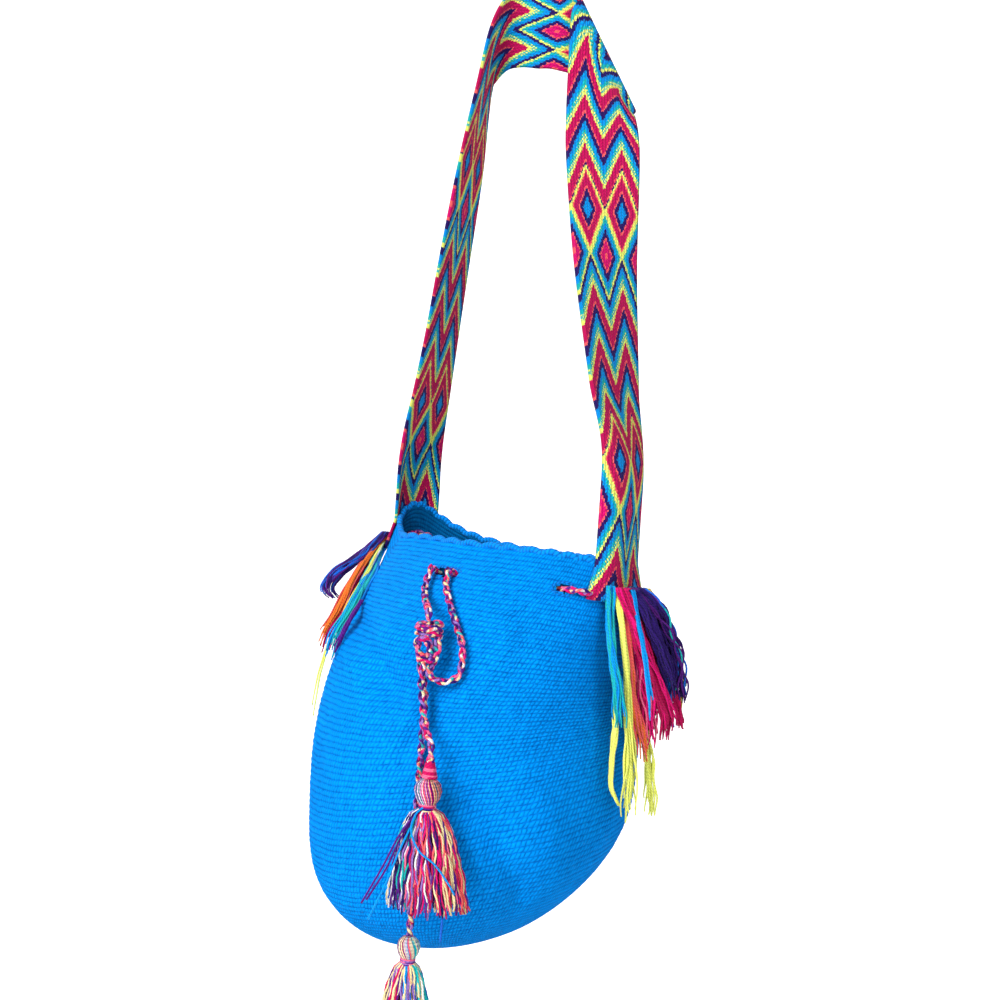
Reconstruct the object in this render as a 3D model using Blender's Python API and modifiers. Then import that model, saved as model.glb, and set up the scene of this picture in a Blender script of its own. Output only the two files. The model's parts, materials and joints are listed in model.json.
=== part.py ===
"""A crocheted bucket bag on a wide woven shoulder strap, with a drawstring and tassels.

The bag hangs by its strap. The origin is the middle of the strap's lower edge at the top
of the loop, where it rests in a hook. +Z is up and -Y is the front of the bag, where the
two ends of the drawstring come out. Everything is in metres.
"""

import math

import bmesh
import bpy
from mathutils import Matrix, Vector

MM = 0.001

# The bag's body: a soft bucket, crocheted in one piece from the base to the scalloped rim.
WALL = 3.5 * MM
STRAP_DROP = 357 * MM  # from the hook to the rim
BELLY_DROP = 145 * MM  # from the rim to where the body is widest
WALL_DROP = 183 * MM  # from the rim to where the bottom starts to round under
BOTTOM_DEPTH = 122 * MM
RIM_HALF_LENGTH = 125 * MM  # of the flattened rim, from one end of the strap to the other
RIM_HALF_WIDTH = 51 * MM
BELLY_RADIUS = 120.5 * MM
BOTTOM_ROUNDNESS = 2.15  # 2 is an ellipse, and more is squarer
RIM_CENTRE = Vector((-3 * MM, 0))
BELLY_CENTRE = Vector((-10.5 * MM, -4 * MM))
STRAP_AXIS = math.radians(-55)  # the heading of the strap's right end, from above
SCALLOPS = 36
SCALLOP_HEIGHT = 1.1 * MM
STITCH_ROWS = 15  # ridges of crochet on the wall, one for about three rows of the real bag
ROW_RIDGE = 0.45 * MM
BOTTOM_RINGS = 8

# How the soft wall hangs: (angle round the body, half width, height) of each lift of the rim.
RIM_LIFTS = ((180, 30, 20 * MM), (-90, 45, 3 * MM), (0, 25, -3 * MM), (95, 45, -6 * MM))
RIM_TILT = -0.05  # the crocheted rows fall this much to the right at the rim
BASE_TILT = 0.23  # and rise this much to the right at the base, which hangs askew
GATHERS = 9  # soft pleats that the drawstring leaves below the rim
GATHER_DEPTH = 1.4 * MM
GATHER_REACH = 34 * MM
# Dents and swells: (angle, drop below the rim, half width in degrees, half height, depth).
SLOUCH_DENT = (-72, 99 * MM, 22, 14 * MM, -6 * MM)
SLOUCH_SWELL = (-70, 66 * MM, 26, 17 * MM, 4 * MM)
FOLD_LINE = ((-38, 78 * MM), (-42, 105 * MM), (-43, 132 * MM), (-36, 160 * MM), (-24, 190 * MM))
FOLD_HALF_WIDTH = 7.5  # degrees
FOLD_HALF_HEIGHT = 17 * MM
FOLD_DEPTH = -2.4 * MM

# The eyelets that the drawstring runs through, and the wider slit that its ends leave by.
EYELET_DROP = 21 * MM
EYELET_LENGTH = 16 * MM
EYELET_HEIGHT = 8.5 * MM
EYELETS = (-34, -17, 51, 66, 90, 108, 130, 150)
SLIT_ANGLE = -76
SLIT_LENGTH = 31 * MM
SLIT_EXITS = (-80, -72)  # where the two ends of the drawstring come out

# The strap: one woven band, sewn to the outside of the wall at both ends.
STRAP_ENDS = (184, 16)  # the angles of its left and right ends
STRAP_WIDTH = 56 * MM
STRAP_THICKNESS = 2.4 * MM
STRAP_OVERLAP = 25 * MM  # on the wall, below the rim
STRAP_BLEND = 75 * MM  # the length over which the strap takes up the curve of the wall
STRAP_ACROSS = 8
STRAP_STEP = 11 * MM
SEAT_GAP = 0.35 * MM  # between pieces that touch
# The strap's route over the hook, from its left end to its right end, in millimetres and
# degrees: its middle line, the heading and rise of its width, and how far a row stretches.
STRAP_ROUTE = (
    ((-75, 97, -313), 236, 0, 1.0),
    ((-68, 78, -257), 242, 0, 1.0),
    ((-61, 60, -202), 247, 0, 1.0),
    ((-54, 40, -141), 250, 0, 1.0),
    ((-46, 20, -76), 254, 0, 1.0),
    ((-40, 5, -26), 262, 8, 1.0),
    ((-35, 1, 6), 267, 40, 1.0),
    ((-25, 0, 25), 269, 76, 1.0),
    ((-13, 0, 28), 270, 90, 1.0),
    ((0, 0, 28), 270, 90, 1.0),
    ((13, 0, 28), 270, 90, 1.0),
    ((32, 1, 25), 180, 72, 1.2),
    ((47, 2, 16), 180, 62, 1.6),
    ((51, -4, 12), 180, 60, 1.66),
    ((47, -10, 3), 180, 56, 1.6),
    ((48, -15, -19), 182, 34, 1.12),
    ((50, -22, -46), 186, 12, 1.0),
    ((52, -30, -76), 194, 2, 1.0),
    ((58, -50, -154), 214, 0, 1.0),
    ((69, -72, -243), 230, 0, 1.0),
    ((77, -86, -312), 242, 0, 1.0),
)

# The drawstring, its knot and its two tassels.
CORD_RADIUS = 2.4 * MM
KNOT_DROP = 68 * MM
KNOT_X = -43 * MM
KNOT_RADIUS = 9.5 * MM
KNOT_HEIGHT = 21 * MM
SWING_STANDOFF = 6 * MM  # of the pivot of the hanging ends from the wall
SWING_GAP = 2.8 * MM  # between the threaded stretch and the ends, which swing there
UPPER_END_X = -38 * MM
UPPER_END_Z = -499 * MM
LOWER_END_X = -46 * MM
LOWER_END_Z = -619 * MM
TASSEL_STRANDS = 13
UPPER_TASSEL = {"head": 8.8 * MM, "length": 101 * MM, "half_width": 26 * MM, "half_depth": 9 * MM}
LOWER_TASSEL = {"head": 7.5 * MM, "length": 90 * MM, "half_width": 19 * MM, "half_depth": 11 * MM}
BINDING_RADIUS = 1.5 * MM

# The loose yarn at the strap's ends: (name, place across the strap's end from -1 to 1, radius
# of its loose end, how far that end hangs from its seam in millimetres, colour).
FRINGE_RADIUS = 2.9 * MM
RIGHT_FRINGE = (
    ("turquoise", -0.86, 4.4 * MM, (8, 10, -85), (0.01, 0.42, 0.55)),
    ("yellow", -0.52, 4.4 * MM, (20, 24, -141), (0.80, 0.80, 0.16)),
    ("magenta", -0.18, 5.0 * MM, (26, 28, -100), (0.68, 0.01, 0.16)),
    ("orange", 0.17, 4.2 * MM, (33, 31, -111), (0.95, 0.20, 0.08)),
    ("crimson", 0.52, 4.8 * MM, (39, 33, -96), (0.42, 0.005, 0.05)),
    ("navy", 0.86, 4.8 * MM, (45, 36, -73), (0.03, 0.015, 0.25)),
)
LEFT_FRINGE = (
    ("navy", 0.84, 5.8 * MM, (-45, -47, -41), (0.02, 0.03, 0.30)),
    ("orange", 0.42, 4.2 * MM, (-49, -43, -84), (0.95, 0.18, 0.06)),
    ("crimson", 0.0, 4.2 * MM, (-54, -40, -94), (0.45, 0.005, 0.06)),
    ("yellow", -0.42, 4.0 * MM, (-59, -34, -107), (0.80, 0.80, 0.20)),
    ("turquoise", -0.84, 4.0 * MM, (-62, -26, -94), (0.01, 0.40, 0.55)),
)

BAG_BLUE = (0.0, 0.27, 0.80)
STRAP_RED = (0.50, 0.01, 0.10)
CORD_PINK = (0.55, 0.08, 0.20)
TASSEL_MAGENTA = (0.52, 0.02, 0.20)
TASSEL_YELLOW = (0.85, 0.55, 0.20)
BINDING_NAVY = (0.06, 0.02, 0.22)
CAP_CRIMSON = (0.45, 0.01, 0.05)


def clear_scene():
    for item in list(bpy.data.objects):
        bpy.data.objects.remove(item)


def new_collection(name):
    made = bpy.data.collections.new(name)
    bpy.context.scene.collection.children.link(made)
    return made


def material(name, colour, roughness=0.85):
    made = bpy.data.materials.new(name)
    made.use_nodes = True
    shader = made.node_tree.nodes["Principled BSDF"]
    shader.inputs["Base Color"].default_value = (*colour, 1)
    shader.inputs["Roughness"].default_value = roughness
    shader.inputs["Metallic"].default_value = 0
    return made


def mix(a, b, share):
    return a + (b - a) * share


def ease(share):
    share = min(max(share, 0), 1)
    return share * share * (3 - 2 * share)


def bump(value, half_width):
    """A bell of height 1 round zero."""
    return math.exp(-((value / half_width) ** 2))


def turn_between(angle, centre):
    """The shortest turn from the centre to the angle, in degrees."""
    return (angle - centre + 180) % 360 - 180


def catmull(points, share):
    """A point on the smooth curve through the points, at a share of the way along them."""
    spans = len(points) - 1
    place = min(max(share, 0), 1) * spans
    i = min(int(place), spans - 1)
    t = place - i
    p1, p2 = points[i], points[i + 1]
    p0 = points[i - 1] if i else p1 * 2 - p2
    p3 = points[i + 2] if i + 2 <= spans else p2 * 2 - p1
    bend = p0 * 2 - p1 * 5 + p2 * 4 - p3
    twist = p1 * 3 - p0 - p2 * 3 + p3
    return (p1 * 2 + (p2 - p0) * t + bend * t**2 + twist * t**3) * 0.5


def smooth_route(points, step):
    """Points about a step apart along the smooth curve through the route's own points."""
    fine = [catmull(points, k / 500) for k in range(501)]
    along = [0.0]
    for a, b in zip(fine, fine[1:]):
        along.append(along[-1] + (b - a).length)
    count = max(2, round(along[-1] / step))
    route, j = [], 0
    for k in range(count + 1):
        want = along[-1] * k / count
        while j < len(along) - 2 and along[j + 1] < want:
            j += 1
        route.append(fine[j].lerp(fine[j + 1], (want - along[j]) / (along[j + 1] - along[j])))
    return route


def fold_at(angle, drop):
    """How far the wall stands out at this place, from its gathers, dents and folds."""
    out = GATHER_DEPTH * math.cos(GATHERS * math.radians(angle)) * math.exp(-drop / GATHER_REACH)
    for centre, level, half_width, half_height, depth in (SLOUCH_DENT, SLOUCH_SWELL):
        out += depth * bump(turn_between(angle, centre), half_width) * bump(drop - level, half_height)
    for centre, level in FOLD_LINE:
        width = bump(turn_between(angle, centre), FOLD_HALF_WIDTH)
        out += FOLD_DEPTH * width * bump(drop - level, FOLD_HALF_HEIGHT)
    return out


def body_point(angle, drop, out=0.0, under=0.0):
    """A point of the body's outer face, moved out from it.

    The angle is in degrees round the body: 0 at the strap's right end, -90 at the front left
    and 180 at the strap's other end. The drop is measured down the wall from the rim. Below
    the wall, under goes from 0 to 1 at the middle of the base.
    """
    turn = math.radians(angle)
    swell = math.sin(math.pi / 2 * min(max(drop, 0) / BELLY_DROP, 1))
    centre = RIM_CENTRE.lerp(BELLY_CENTRE, swell)
    along = mix(RIM_HALF_LENGTH, BELLY_RADIUS, swell)
    across = mix(RIM_HALF_WIDTH, BELLY_RADIUS, swell)
    roll = math.pi / 2 * under
    inward = max(math.cos(roll), 0) ** (2 / BOTTOM_ROUNDNESS)
    depth = BOTTOM_DEPTH * math.sin(roll) ** (2 / BOTTOM_ROUNDNESS)
    reach = out + fold_at(angle, drop + depth) * inward
    heading = Vector((math.cos(STRAP_AXIS), math.sin(STRAP_AXIS)))
    side = Vector((-heading.y, heading.x))
    flat = heading * ((along * inward + reach) * math.cos(turn))
    flat += side * ((across * inward + reach) * math.sin(turn))
    lift = sum(height * bump(turn_between(angle, at), half) for at, half, height in RIM_LIFTS)
    lift *= 1 - ease(drop / BELLY_DROP)
    tilt = mix(RIM_TILT, BASE_TILT, ease((drop - 0.4 * BELLY_DROP) / (WALL_DROP - 0.4 * BELLY_DROP)))
    return Vector((*(centre + flat), -STRAP_DROP - drop - depth + lift + tilt * flat.x))


def body_normal(angle, drop):
    """The outward normal of the wall there."""
    round_step = body_point(angle + 1, drop) - body_point(angle - 1, drop)
    down_step = body_point(angle, drop + 1 * MM) - body_point(angle, drop - 1 * MM)
    return down_step.cross(round_step).normalized()


def off_wall(angle, drop, out):
    """A point this far out from the wall, square to it."""
    return body_point(angle, drop) + body_normal(angle, drop) * out


def angle_along(start, distance, drop):
    """The angle that is this distance round the wall from the start angle."""
    angle, gone, turn = start, 0.0, math.copysign(0.5, distance)
    here = body_point(angle, drop)
    while gone < abs(distance):
        angle += turn
        there = body_point(angle, drop)
        gone += (there - here).length
        here = there
    return angle


def front_angle(x, drop):
    """The angle on the front of the body where the wall has this x."""
    low, high = -140.0, 0.0
    for _ in range(40):
        middle = (low + high) / 2
        if body_point(middle, drop).x < x:
            low = middle
        else:
            high = middle
    return low


def clear_of_wall(point, out):
    """The point, moved off the wall if it is nearer to it than this."""
    drop = -STRAP_DROP - point.z
    near = min(range(-180, 180, 2), key=lambda angle: (body_point(angle, drop) - point).length)
    wall, normal = body_point(near, drop), body_normal(near, drop)
    away = (point - wall).dot(normal)
    return point + normal * (out - away) if away < out else point


def front_point(x, drop, out):
    return off_wall(front_angle(x, drop), drop, out)


def finish_mesh(name, mesh, look, collection):
    made = bpy.data.objects.new(name, mesh)
    collection.objects.link(made)
    mesh.materials.append(look)
    mesh.shade_smooth()
    return made


def grid_mesh(name, rows, closed_round, pole=None):
    """A sheet of quads through rows of points; pole closes the last row onto one point."""
    shape = bmesh.new()
    lines = [[shape.verts.new(point) for point in row] for row in rows]
    width = len(rows[0])
    spans = width if closed_round else width - 1
    for upper, lower in zip(lines, lines[1:]):
        for i in range(spans):
            j = (i + 1) % width
            shape.faces.new((upper[i], lower[i], lower[j], upper[j]))
    if pole is not None:
        tip = shape.verts.new(pole)
        for i in range(spans):
            shape.faces.new((lines[-1][i], tip, lines[-1][(i + 1) % width]))
    mesh = bpy.data.meshes.new(name)
    shape.to_mesh(mesh)
    shape.free()
    return mesh


def loft_mesh(name, rings):
    """A closed solid through rings of as many points each, with a flat cap at both ends."""
    shape = bmesh.new()
    loops = [[shape.verts.new(point) for point in ring] for ring in rings]
    count = len(rings[0])
    for upper, lower in zip(loops, loops[1:]):
        for i in range(count):
            j = (i + 1) % count
            shape.faces.new((upper[i], lower[i], lower[j], upper[j]))
    shape.faces.new(loops[0])
    shape.faces.new(loops[-1][::-1])
    bmesh.ops.recalc_face_normals(shape, faces=shape.faces)
    mesh = bpy.data.meshes.new(name)
    shape.to_mesh(mesh)
    shape.free()
    return mesh


def add_tube(name, route, radii, look, collection, sides=2):
    """A round tube along a route, as a curve with filled caps; one radius for each point."""
    curve = bpy.data.curves.new(name, "CURVE")
    curve.dimensions = "3D"
    curve.bevel_depth = 1.0
    curve.bevel_resolution = sides
    curve.use_fill_caps = True
    spline = curve.splines.new("POLY")
    spline.points.add(len(route) - 1)
    for point, place, radius in zip(spline.points, route, radii):
        point.co = (*place, 1)
        point.radius = radius
    curve.materials.append(look)
    made = bpy.data.objects.new(name, curve)
    collection.objects.link(made)
    return made


def add_cord(name, points, look, collection):
    """A length of the drawstring, with a straight stretch at each end."""
    route = [points[0], *smooth_route(points[1:-1], 4.8 * CORD_RADIUS), points[-1]]
    return add_tube(name, route, [CORD_RADIUS] * len(route), look, collection)


def add_thickness(item, thickness, offset):
    thick = item.modifiers.new("thickness", "SOLIDIFY")
    thick.thickness = thickness
    thick.offset = offset
    thick.use_even_offset = True
    thick.use_quality_normals = True


def add_slot_cutter(name, angle, length, collection):
    """An oval rod through the wall, as long round the wall as the slot."""
    place = body_point(angle, EYELET_DROP)
    normal = body_normal(angle, EYELET_DROP)
    across = Vector((0, 0, 1)).cross(normal).normalized()
    upright = normal.cross(across)
    bpy.ops.mesh.primitive_cylinder_add(vertices=14, radius=0.5, depth=1)
    rod = bpy.context.object
    rod.name = name
    turn = Matrix((across * length, upright * EYELET_HEIGHT, normal * WALL * 7)).transposed()
    rod.data.transform(turn.to_4x4())
    rod.location = place
    for owner in list(rod.users_collection):
        owner.objects.unlink(rod)
    collection.objects.link(rod)
    rod.hide_render = True
    rod.display_type = "WIRE"
    return rod


def build_body(collection, cutters):
    """The crocheted body: one open sheet, thickened inward, with slots cut near its rim."""
    count = SCALLOPS * 2
    angles = [360 * i / count for i in range(count)]
    rows = []
    for k in range(2 * STITCH_ROWS + 1):
        drop = WALL_DROP * k / (2 * STITCH_ROWS)
        ridge = ROW_RIDGE * (1 if k % 2 else -1)
        row = [body_point(angle, drop, ridge) for angle in angles]
        if k == 0:
            for i, point in enumerate(row):
                point.z += SCALLOP_HEIGHT * (1 if i % 2 else -1)
        rows.append(row)
    for k in range(1, BOTTOM_RINGS):
        under = (k / BOTTOM_RINGS) ** 0.9
        ridge = ROW_RIDGE * (1 if k % 2 else -1) * (1 - under)
        rows.append([body_point(angle, WALL_DROP, ridge, under) for angle in angles])
    pole = body_point(0, WALL_DROP, 0, 1)
    mesh = grid_mesh("bag_body", rows, True, pole)
    body = finish_mesh("bag_body", mesh, material("bag_blue", BAG_BLUE, 0.9), collection)
    add_thickness(body, WALL, -1)
    slots = [(angle, EYELET_LENGTH) for angle in EYELETS] + [(SLIT_ANGLE, SLIT_LENGTH)]
    for k, (angle, length) in enumerate(slots):
        rod = add_slot_cutter(f"slot_cutter_{k}", angle, length, cutters)
        cut = body.modifiers.new(f"slot_{k}", "BOOLEAN")
        cut.operation = "DIFFERENCE"
        cut.solver = "EXACT"
        cut.object = rod
    return body


def strap_row_on_wall(end_angle, drop):
    """A row of the strap lying on the wall, from its edge A to its edge B."""
    out = SEAT_GAP + STRAP_THICKNESS / 2 + ROW_RIDGE + 0.2 * MM
    row = []
    for j in range(STRAP_ACROSS + 1):
        across = STRAP_WIDTH * (j / STRAP_ACROSS - 0.5)
        # Edge B is towards the viewer at the left end and at the left of the right end.
        turn = angle_along(end_angle, across if end_angle > 90 else -across, max(drop, 0))
        point = off_wall(turn, max(drop, 0), out)
        point.z -= min(drop, 0)
        row.append(point)
    return row


def build_strap(collection):
    """The strap: rows of points along its route, thickened to a band."""
    frames = []
    for (x, y, z), heading, rise, stretch in STRAP_ROUTE:
        heading, rise = math.radians(heading), math.radians(rise)
        flat = math.cos(rise)
        width = Vector((flat * math.cos(heading), flat * math.sin(heading), math.sin(rise)))
        frames.append((Vector((x, y, z)) * MM, width * (stretch * STRAP_WIDTH)))
    middles = [middle for middle, _ in frames]
    widths = [width for _, width in frames]
    fine = 600
    places = [catmull(middles, k / fine) for k in range(fine + 1)]
    along = [0.0]
    for a, b in zip(places, places[1:]):
        along.append(along[-1] + (b - a).length)
    count = round(along[-1] / STRAP_STEP)
    rows, j = [], 0
    for k in range(count + 1):
        want = along[-1] * k / count
        while j < fine - 1 and along[j + 1] < want:
            j += 1
        share = (j + (want - along[j]) / (along[j + 1] - along[j])) / fine
        middle, width = catmull(middles, share), catmull(widths, share)
        row = [middle + width * (i / STRAP_ACROSS - 0.5) for i in range(STRAP_ACROSS + 1)]
        for end_angle, gone in zip(STRAP_ENDS, (want, along[-1] - want)):
            if gone < STRAP_BLEND:
                ride = ease(1 - gone / STRAP_BLEND)
                height = body_point(end_angle, 0).z - middle.z
                on_wall = strap_row_on_wall(end_angle, height)
                row = [point.lerp(wall, ride) for point, wall in zip(row, on_wall)]
        rows.append(row)
    down_to_rim = [body_point(angle, 0).z for angle in STRAP_ENDS]
    left_gap = rows[0][STRAP_ACROSS // 2].z - down_to_rim[0]
    right_gap = rows[-1][STRAP_ACROSS // 2].z - down_to_rim[1]
    left_steps = round((left_gap + STRAP_OVERLAP) / STRAP_STEP)
    right_steps = round((right_gap + STRAP_OVERLAP) / STRAP_STEP)
    left = [
        strap_row_on_wall(STRAP_ENDS[0], mix(STRAP_OVERLAP, -left_gap, k / left_steps))
        for k in range(left_steps)
    ]
    right = [
        strap_row_on_wall(STRAP_ENDS[1], mix(-right_gap, STRAP_OVERLAP, k / right_steps))
        for k in range(1, right_steps + 1)
    ]
    mesh = grid_mesh("shoulder_strap", left + rows + right, False)
    strap = finish_mesh("shoulder_strap", mesh, material("strap_red", STRAP_RED, 0.9), collection)
    add_thickness(strap, STRAP_THICKNESS, 0)
    return strap


def drawstring_out(angle):
    """How far the threaded drawstring's middle is from the wall's outer face at an angle."""
    outside = CORD_RADIUS + SEAT_GAP + ROW_RIDGE + 0.7 * MM
    inside = -WALL - outside
    share = 0.0
    for k, eyelet in enumerate(EYELETS):
        gap = body_point(angle, EYELET_DROP) - body_point(eyelet, EYELET_DROP)
        away = math.copysign(gap.length, angle - eyelet)
        passed = ease(away / (EYELET_LENGTH - 3 * MM) + 0.5)
        share += passed if k % 2 == 0 else -passed
    return mix(inside, outside, share)


def build_drawstring(collection):
    """The drawstring: the stretch threaded round the rim, its knot and its two hanging ends."""
    look = material("drawstring_pink", CORD_PINK)
    outward = [SWING_STANDOFF - SWING_GAP, 0, -WALL, -2.15 * WALL]
    first = [off_wall(SLIT_EXITS[1] + 0.3 * k, EYELET_DROP, out) for k, out in enumerate(outward)]
    last = [off_wall(SLIT_EXITS[0] - 0.3 * k, EYELET_DROP, out) for k, out in enumerate(outward)]
    inside_start = SLIT_EXITS[1] + 4.5
    inside_turn = 360 + SLIT_EXITS[0] - 4.5 - inside_start
    turns = 72
    threaded = list(first)
    for k in range(turns + 1):
        angle = inside_start + inside_turn * k / turns
        threaded.append(off_wall(angle, EYELET_DROP, drawstring_out(angle)))
    threaded += reversed(last)
    add_tube("drawstring_rim", threaded, [CORD_RADIUS] * len(threaded), look, collection)

    knot = front_point(KNOT_X, KNOT_DROP, KNOT_RADIUS + 1.5 * MM)
    rings = []
    for k in range(9):
        level = 1 - 2 * k / 8
        radius = KNOT_RADIUS * (1 - 0.22 * level**2)
        ring = []
        for i in range(20):
            turn = 2 * math.pi * i / 20
            lump = 1 + 0.06 * math.cos(3 * turn + 5 * level)
            place = Vector((math.cos(turn), math.sin(turn) * 0.85, 0)) * (radius * lump)
            ring.append(knot + place + Vector((0, 0, level * KNOT_HEIGHT / 2)))
        rings.append(ring)
    finish_mesh("drawstring_knot", loft_mesh("drawstring_knot", rings), look, collection)

    top = knot + Vector((-1 * MM, 0, KNOT_HEIGHT / 2 + SEAT_GAP))
    bottom = knot - Vector((0, 0, KNOT_HEIGHT / 2 + SEAT_GAP))
    left_exit, right_exit = (off_wall(angle, EYELET_DROP, SWING_STANDOFF) for angle in SLIT_EXITS)
    lie = CORD_RADIUS + 2.2 * MM
    left_strand = [
        left_exit,
        front_point(left_exit.x - 0.5 * MM, EYELET_DROP + 10 * MM, lie + 0.5 * MM),
        front_point(left_exit.x, EYELET_DROP + 21 * MM, lie + 2 * MM),
        top + Vector((0, 0, 6 * MM)),
        top,
    ]
    add_cord("drawstring_left_strand", left_strand, look, collection)
    loop_radius = 9.5 * MM
    entry = bottom + Vector((5.2 * MM, 0, 0))
    loop = [entry, entry - Vector((0, 0, 4 * MM))]
    for k in range(1, 7):
        turn = math.pi * k / 6
        drop = KNOT_DROP + KNOT_HEIGHT / 2 + 4 * MM + loop_radius * math.sin(turn)
        x = entry.x + loop_radius * (1 - math.cos(turn))
        loop.append(front_point(x, drop, mix(KNOT_RADIUS + 1.5 * MM, lie, k / 6)))
    right_strand = [
        right_exit,
        front_point(right_exit.x + 1 * MM, EYELET_DROP + 10 * MM, lie + 0.5 * MM),
        front_point(right_exit.x + 5 * MM, EYELET_DROP + 24 * MM, lie),
        front_point(loop[-1].x + 0.5 * MM, KNOT_DROP, lie),
        *reversed(loop),
    ]
    add_cord("drawstring_right_strand", right_strand, look, collection)

    # The upper end hangs in front of the lower end, and both lie on the belly.
    front = 2 * (CORD_RADIUS + SEAT_GAP)
    upper = [bottom + Vector((-2.2 * MM, -3.4 * MM, 0))]
    upper.append(upper[0] - Vector((0, 0, 8 * MM)))
    for drop, x in ((100 * MM, -45 * MM), (122 * MM, -42 * MM)):
        upper.append(front_point(x, drop, CORD_RADIUS + 2 * MM + front))
    last = front_point(UPPER_END_X, BELLY_DROP, CORD_RADIUS + 3 * MM + front)
    last.z = UPPER_END_Z
    last.y -= 5 * MM
    upper.append(last + Vector((0, 0, 9 * MM)))
    upper.append(last)
    add_cord("drawstring_upper_end", upper, look, collection)
    lower = [bottom + Vector((-5 * MM, 2.8 * MM, 0))]
    lower.append(lower[0] - Vector((0, 0, 7 * MM)))
    for drop in (100 * MM, 122 * MM, 145 * MM, 160 * MM, 175 * MM):
        lower.append(front_point(LOWER_END_X, drop, CORD_RADIUS + SEAT_GAP + ROW_RIDGE + 0.25 * MM))
    hang_y = lower[-1].y
    for z in (-545 * MM, -570 * MM, -595 * MM, LOWER_END_Z + 9 * MM, LOWER_END_Z):
        lower.append(Vector((LOWER_END_X, hang_y, z)))
    add_cord("drawstring_lower_end", lower, look, collection)
    return upper[-1], lower[-1]


def tassel_ring(centre, radius_x, radius_y, ridge, phase=0.0):
    count = TASSEL_STRANDS * 4
    ring = []
    for i in range(count):
        turn = 2 * math.pi * i / count
        swell = 1 + ridge * math.cos(TASSEL_STRANDS * turn + phase)
        ring.append(centre + Vector((radius_x * math.cos(turn), radius_y * math.sin(turn), 0)) * swell)
    return ring


def build_tassel(name, top, sizes, look, binding_look, collection):
    """One bundle of yarn, folded over into a head and bound at its neck, hanging in a skirt."""
    head, length = sizes["head"], sizes["length"]
    neck_level = 2.15 * head
    stations = [(0.0, 0.45), (0.25, 0.82), (0.6, 1.0), (0.95, 1.0), (1.35, 0.86), (1.7, 0.62)]
    stations += [(2.0, 0.5), (2.15, 0.48), (2.3, 0.5)]
    rings = []
    for level, share in stations:
        middle = top - Vector((0, 0, level * head))
        rings.append(tassel_ring(middle, share * head, share * head, 0.05))
    skirt = length - neck_level
    for k in range(1, 8):
        share = k / 7
        spread = ease(share**0.55)
        wide = mix(0.6 * head, sizes["half_width"], spread)
        deep = mix(0.6 * head, sizes["half_depth"], spread)
        middle = top - Vector((0, 0, neck_level + 0.25 * head + (skirt - 0.25 * head) * share))
        middle.y -= 3 * MM * ease(share)
        rings.append(tassel_ring(middle, wide, deep, 0.08, 0.5 * share))
    finish_mesh(f"{name}_yarns", loft_mesh(f"{name}_yarns", rings), look, collection)
    ring_radius = 0.5 * head * 1.05 + BINDING_RADIUS + SEAT_GAP
    bpy.ops.mesh.primitive_torus_add(
        major_segments=28,
        minor_segments=8,
        major_radius=ring_radius,
        minor_radius=BINDING_RADIUS,
        location=top - Vector((0, 0, neck_level)),
    )
    ring = bpy.context.object
    ring.name = f"{name}_binding"
    ring.data.name = ring.name
    ring.data.materials.append(binding_look)
    ring.data.shade_smooth()
    for owner in list(ring.users_collection):
        owner.objects.unlink(ring)
    collection.objects.link(ring)


def build_cap(end, collection):
    """The whipping that joins the upper end of the drawstring to its tassel."""
    rings = []
    for k in range(9):
        share = k / 8
        radius = mix(3.2 * MM, 6.0 * MM, share) + (0.35 * MM if k % 2 else 0)
        middle = end - Vector((0, 0, SEAT_GAP + 11 * MM * share))
        rings.append(tassel_ring(middle, radius, radius, 0.0)[::2])
    cap = loft_mesh("upper_tassel_cap", rings)
    finish_mesh("upper_tassel_cap", cap, material("cap_crimson", CAP_CRIMSON), collection)
    return end - Vector((0, 0, 2 * SEAT_GAP + 11 * MM))


def build_fringe(side, end_angle, tracks, collection):
    """Bundles of loose yarn that hang beside the bag from an end of the strap."""
    start = STRAP_OVERLAP + 1.1 * MM
    out = FRINGE_RADIUS + SEAT_GAP + ROW_RIDGE + 0.15 * MM
    for name, place, last_radius, hang, colour in tracks:
        angle = angle_along(end_angle, place * STRAP_WIDTH / 2, start)
        first = off_wall(angle, start, out)
        second = off_wall(angle, start + 9 * MM, out + 0.8 * MM)
        last = first + Vector(hang) * MM
        points = [first, second, second.lerp(last, 0.5), last]
        route = [first, second, *smooth_route(points, 9 * MM)[2:]]
        free = last_radius + ROW_RIDGE + 1 * MM
        route = route[:2] + [clear_of_wall(point, free) for point in route[2:]]
        radii = []
        for k in range(len(route)):
            share = k / (len(route) - 1)
            thick = mix(FRINGE_RADIUS, last_radius, ease(share * 1.5))
            radii.append(thick * (1 - 0.35 * ease(share * 5 - 4)) * (1 + 0.06 * math.sin(2.3 * k)))
        look = material(f"{side}_{name}_yarn", colour)
        add_tube(f"{side}_fringe_{name}", route, radii, look, collection)


def main():
    clear_scene()
    parts = new_collection("woven_bucket_bag")
    cutters = new_collection("cutters")
    build_body(parts, cutters)
    build_strap(parts)
    upper_end, lower_end = build_drawstring(parts)
    binding = material("binding_navy", BINDING_NAVY)
    head_top = build_cap(upper_end, parts)
    upper_look = material("upper_tassel_magenta", TASSEL_MAGENTA)
    build_tassel("upper_tassel", head_top, UPPER_TASSEL, upper_look, binding, parts)
    lower_look = material("lower_tassel_yellow", TASSEL_YELLOW)
    head_top = lower_end - Vector((0, 0, SEAT_GAP))
    build_tassel("lower_tassel", head_top, LOWER_TASSEL, lower_look, binding, parts)
    build_fringe("right", STRAP_ENDS[1], RIGHT_FRINGE, parts)
    build_fringe("left", STRAP_ENDS[0], LEFT_FRINGE, parts)


main()
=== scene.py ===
import itertools
import json
import math
import random

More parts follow.
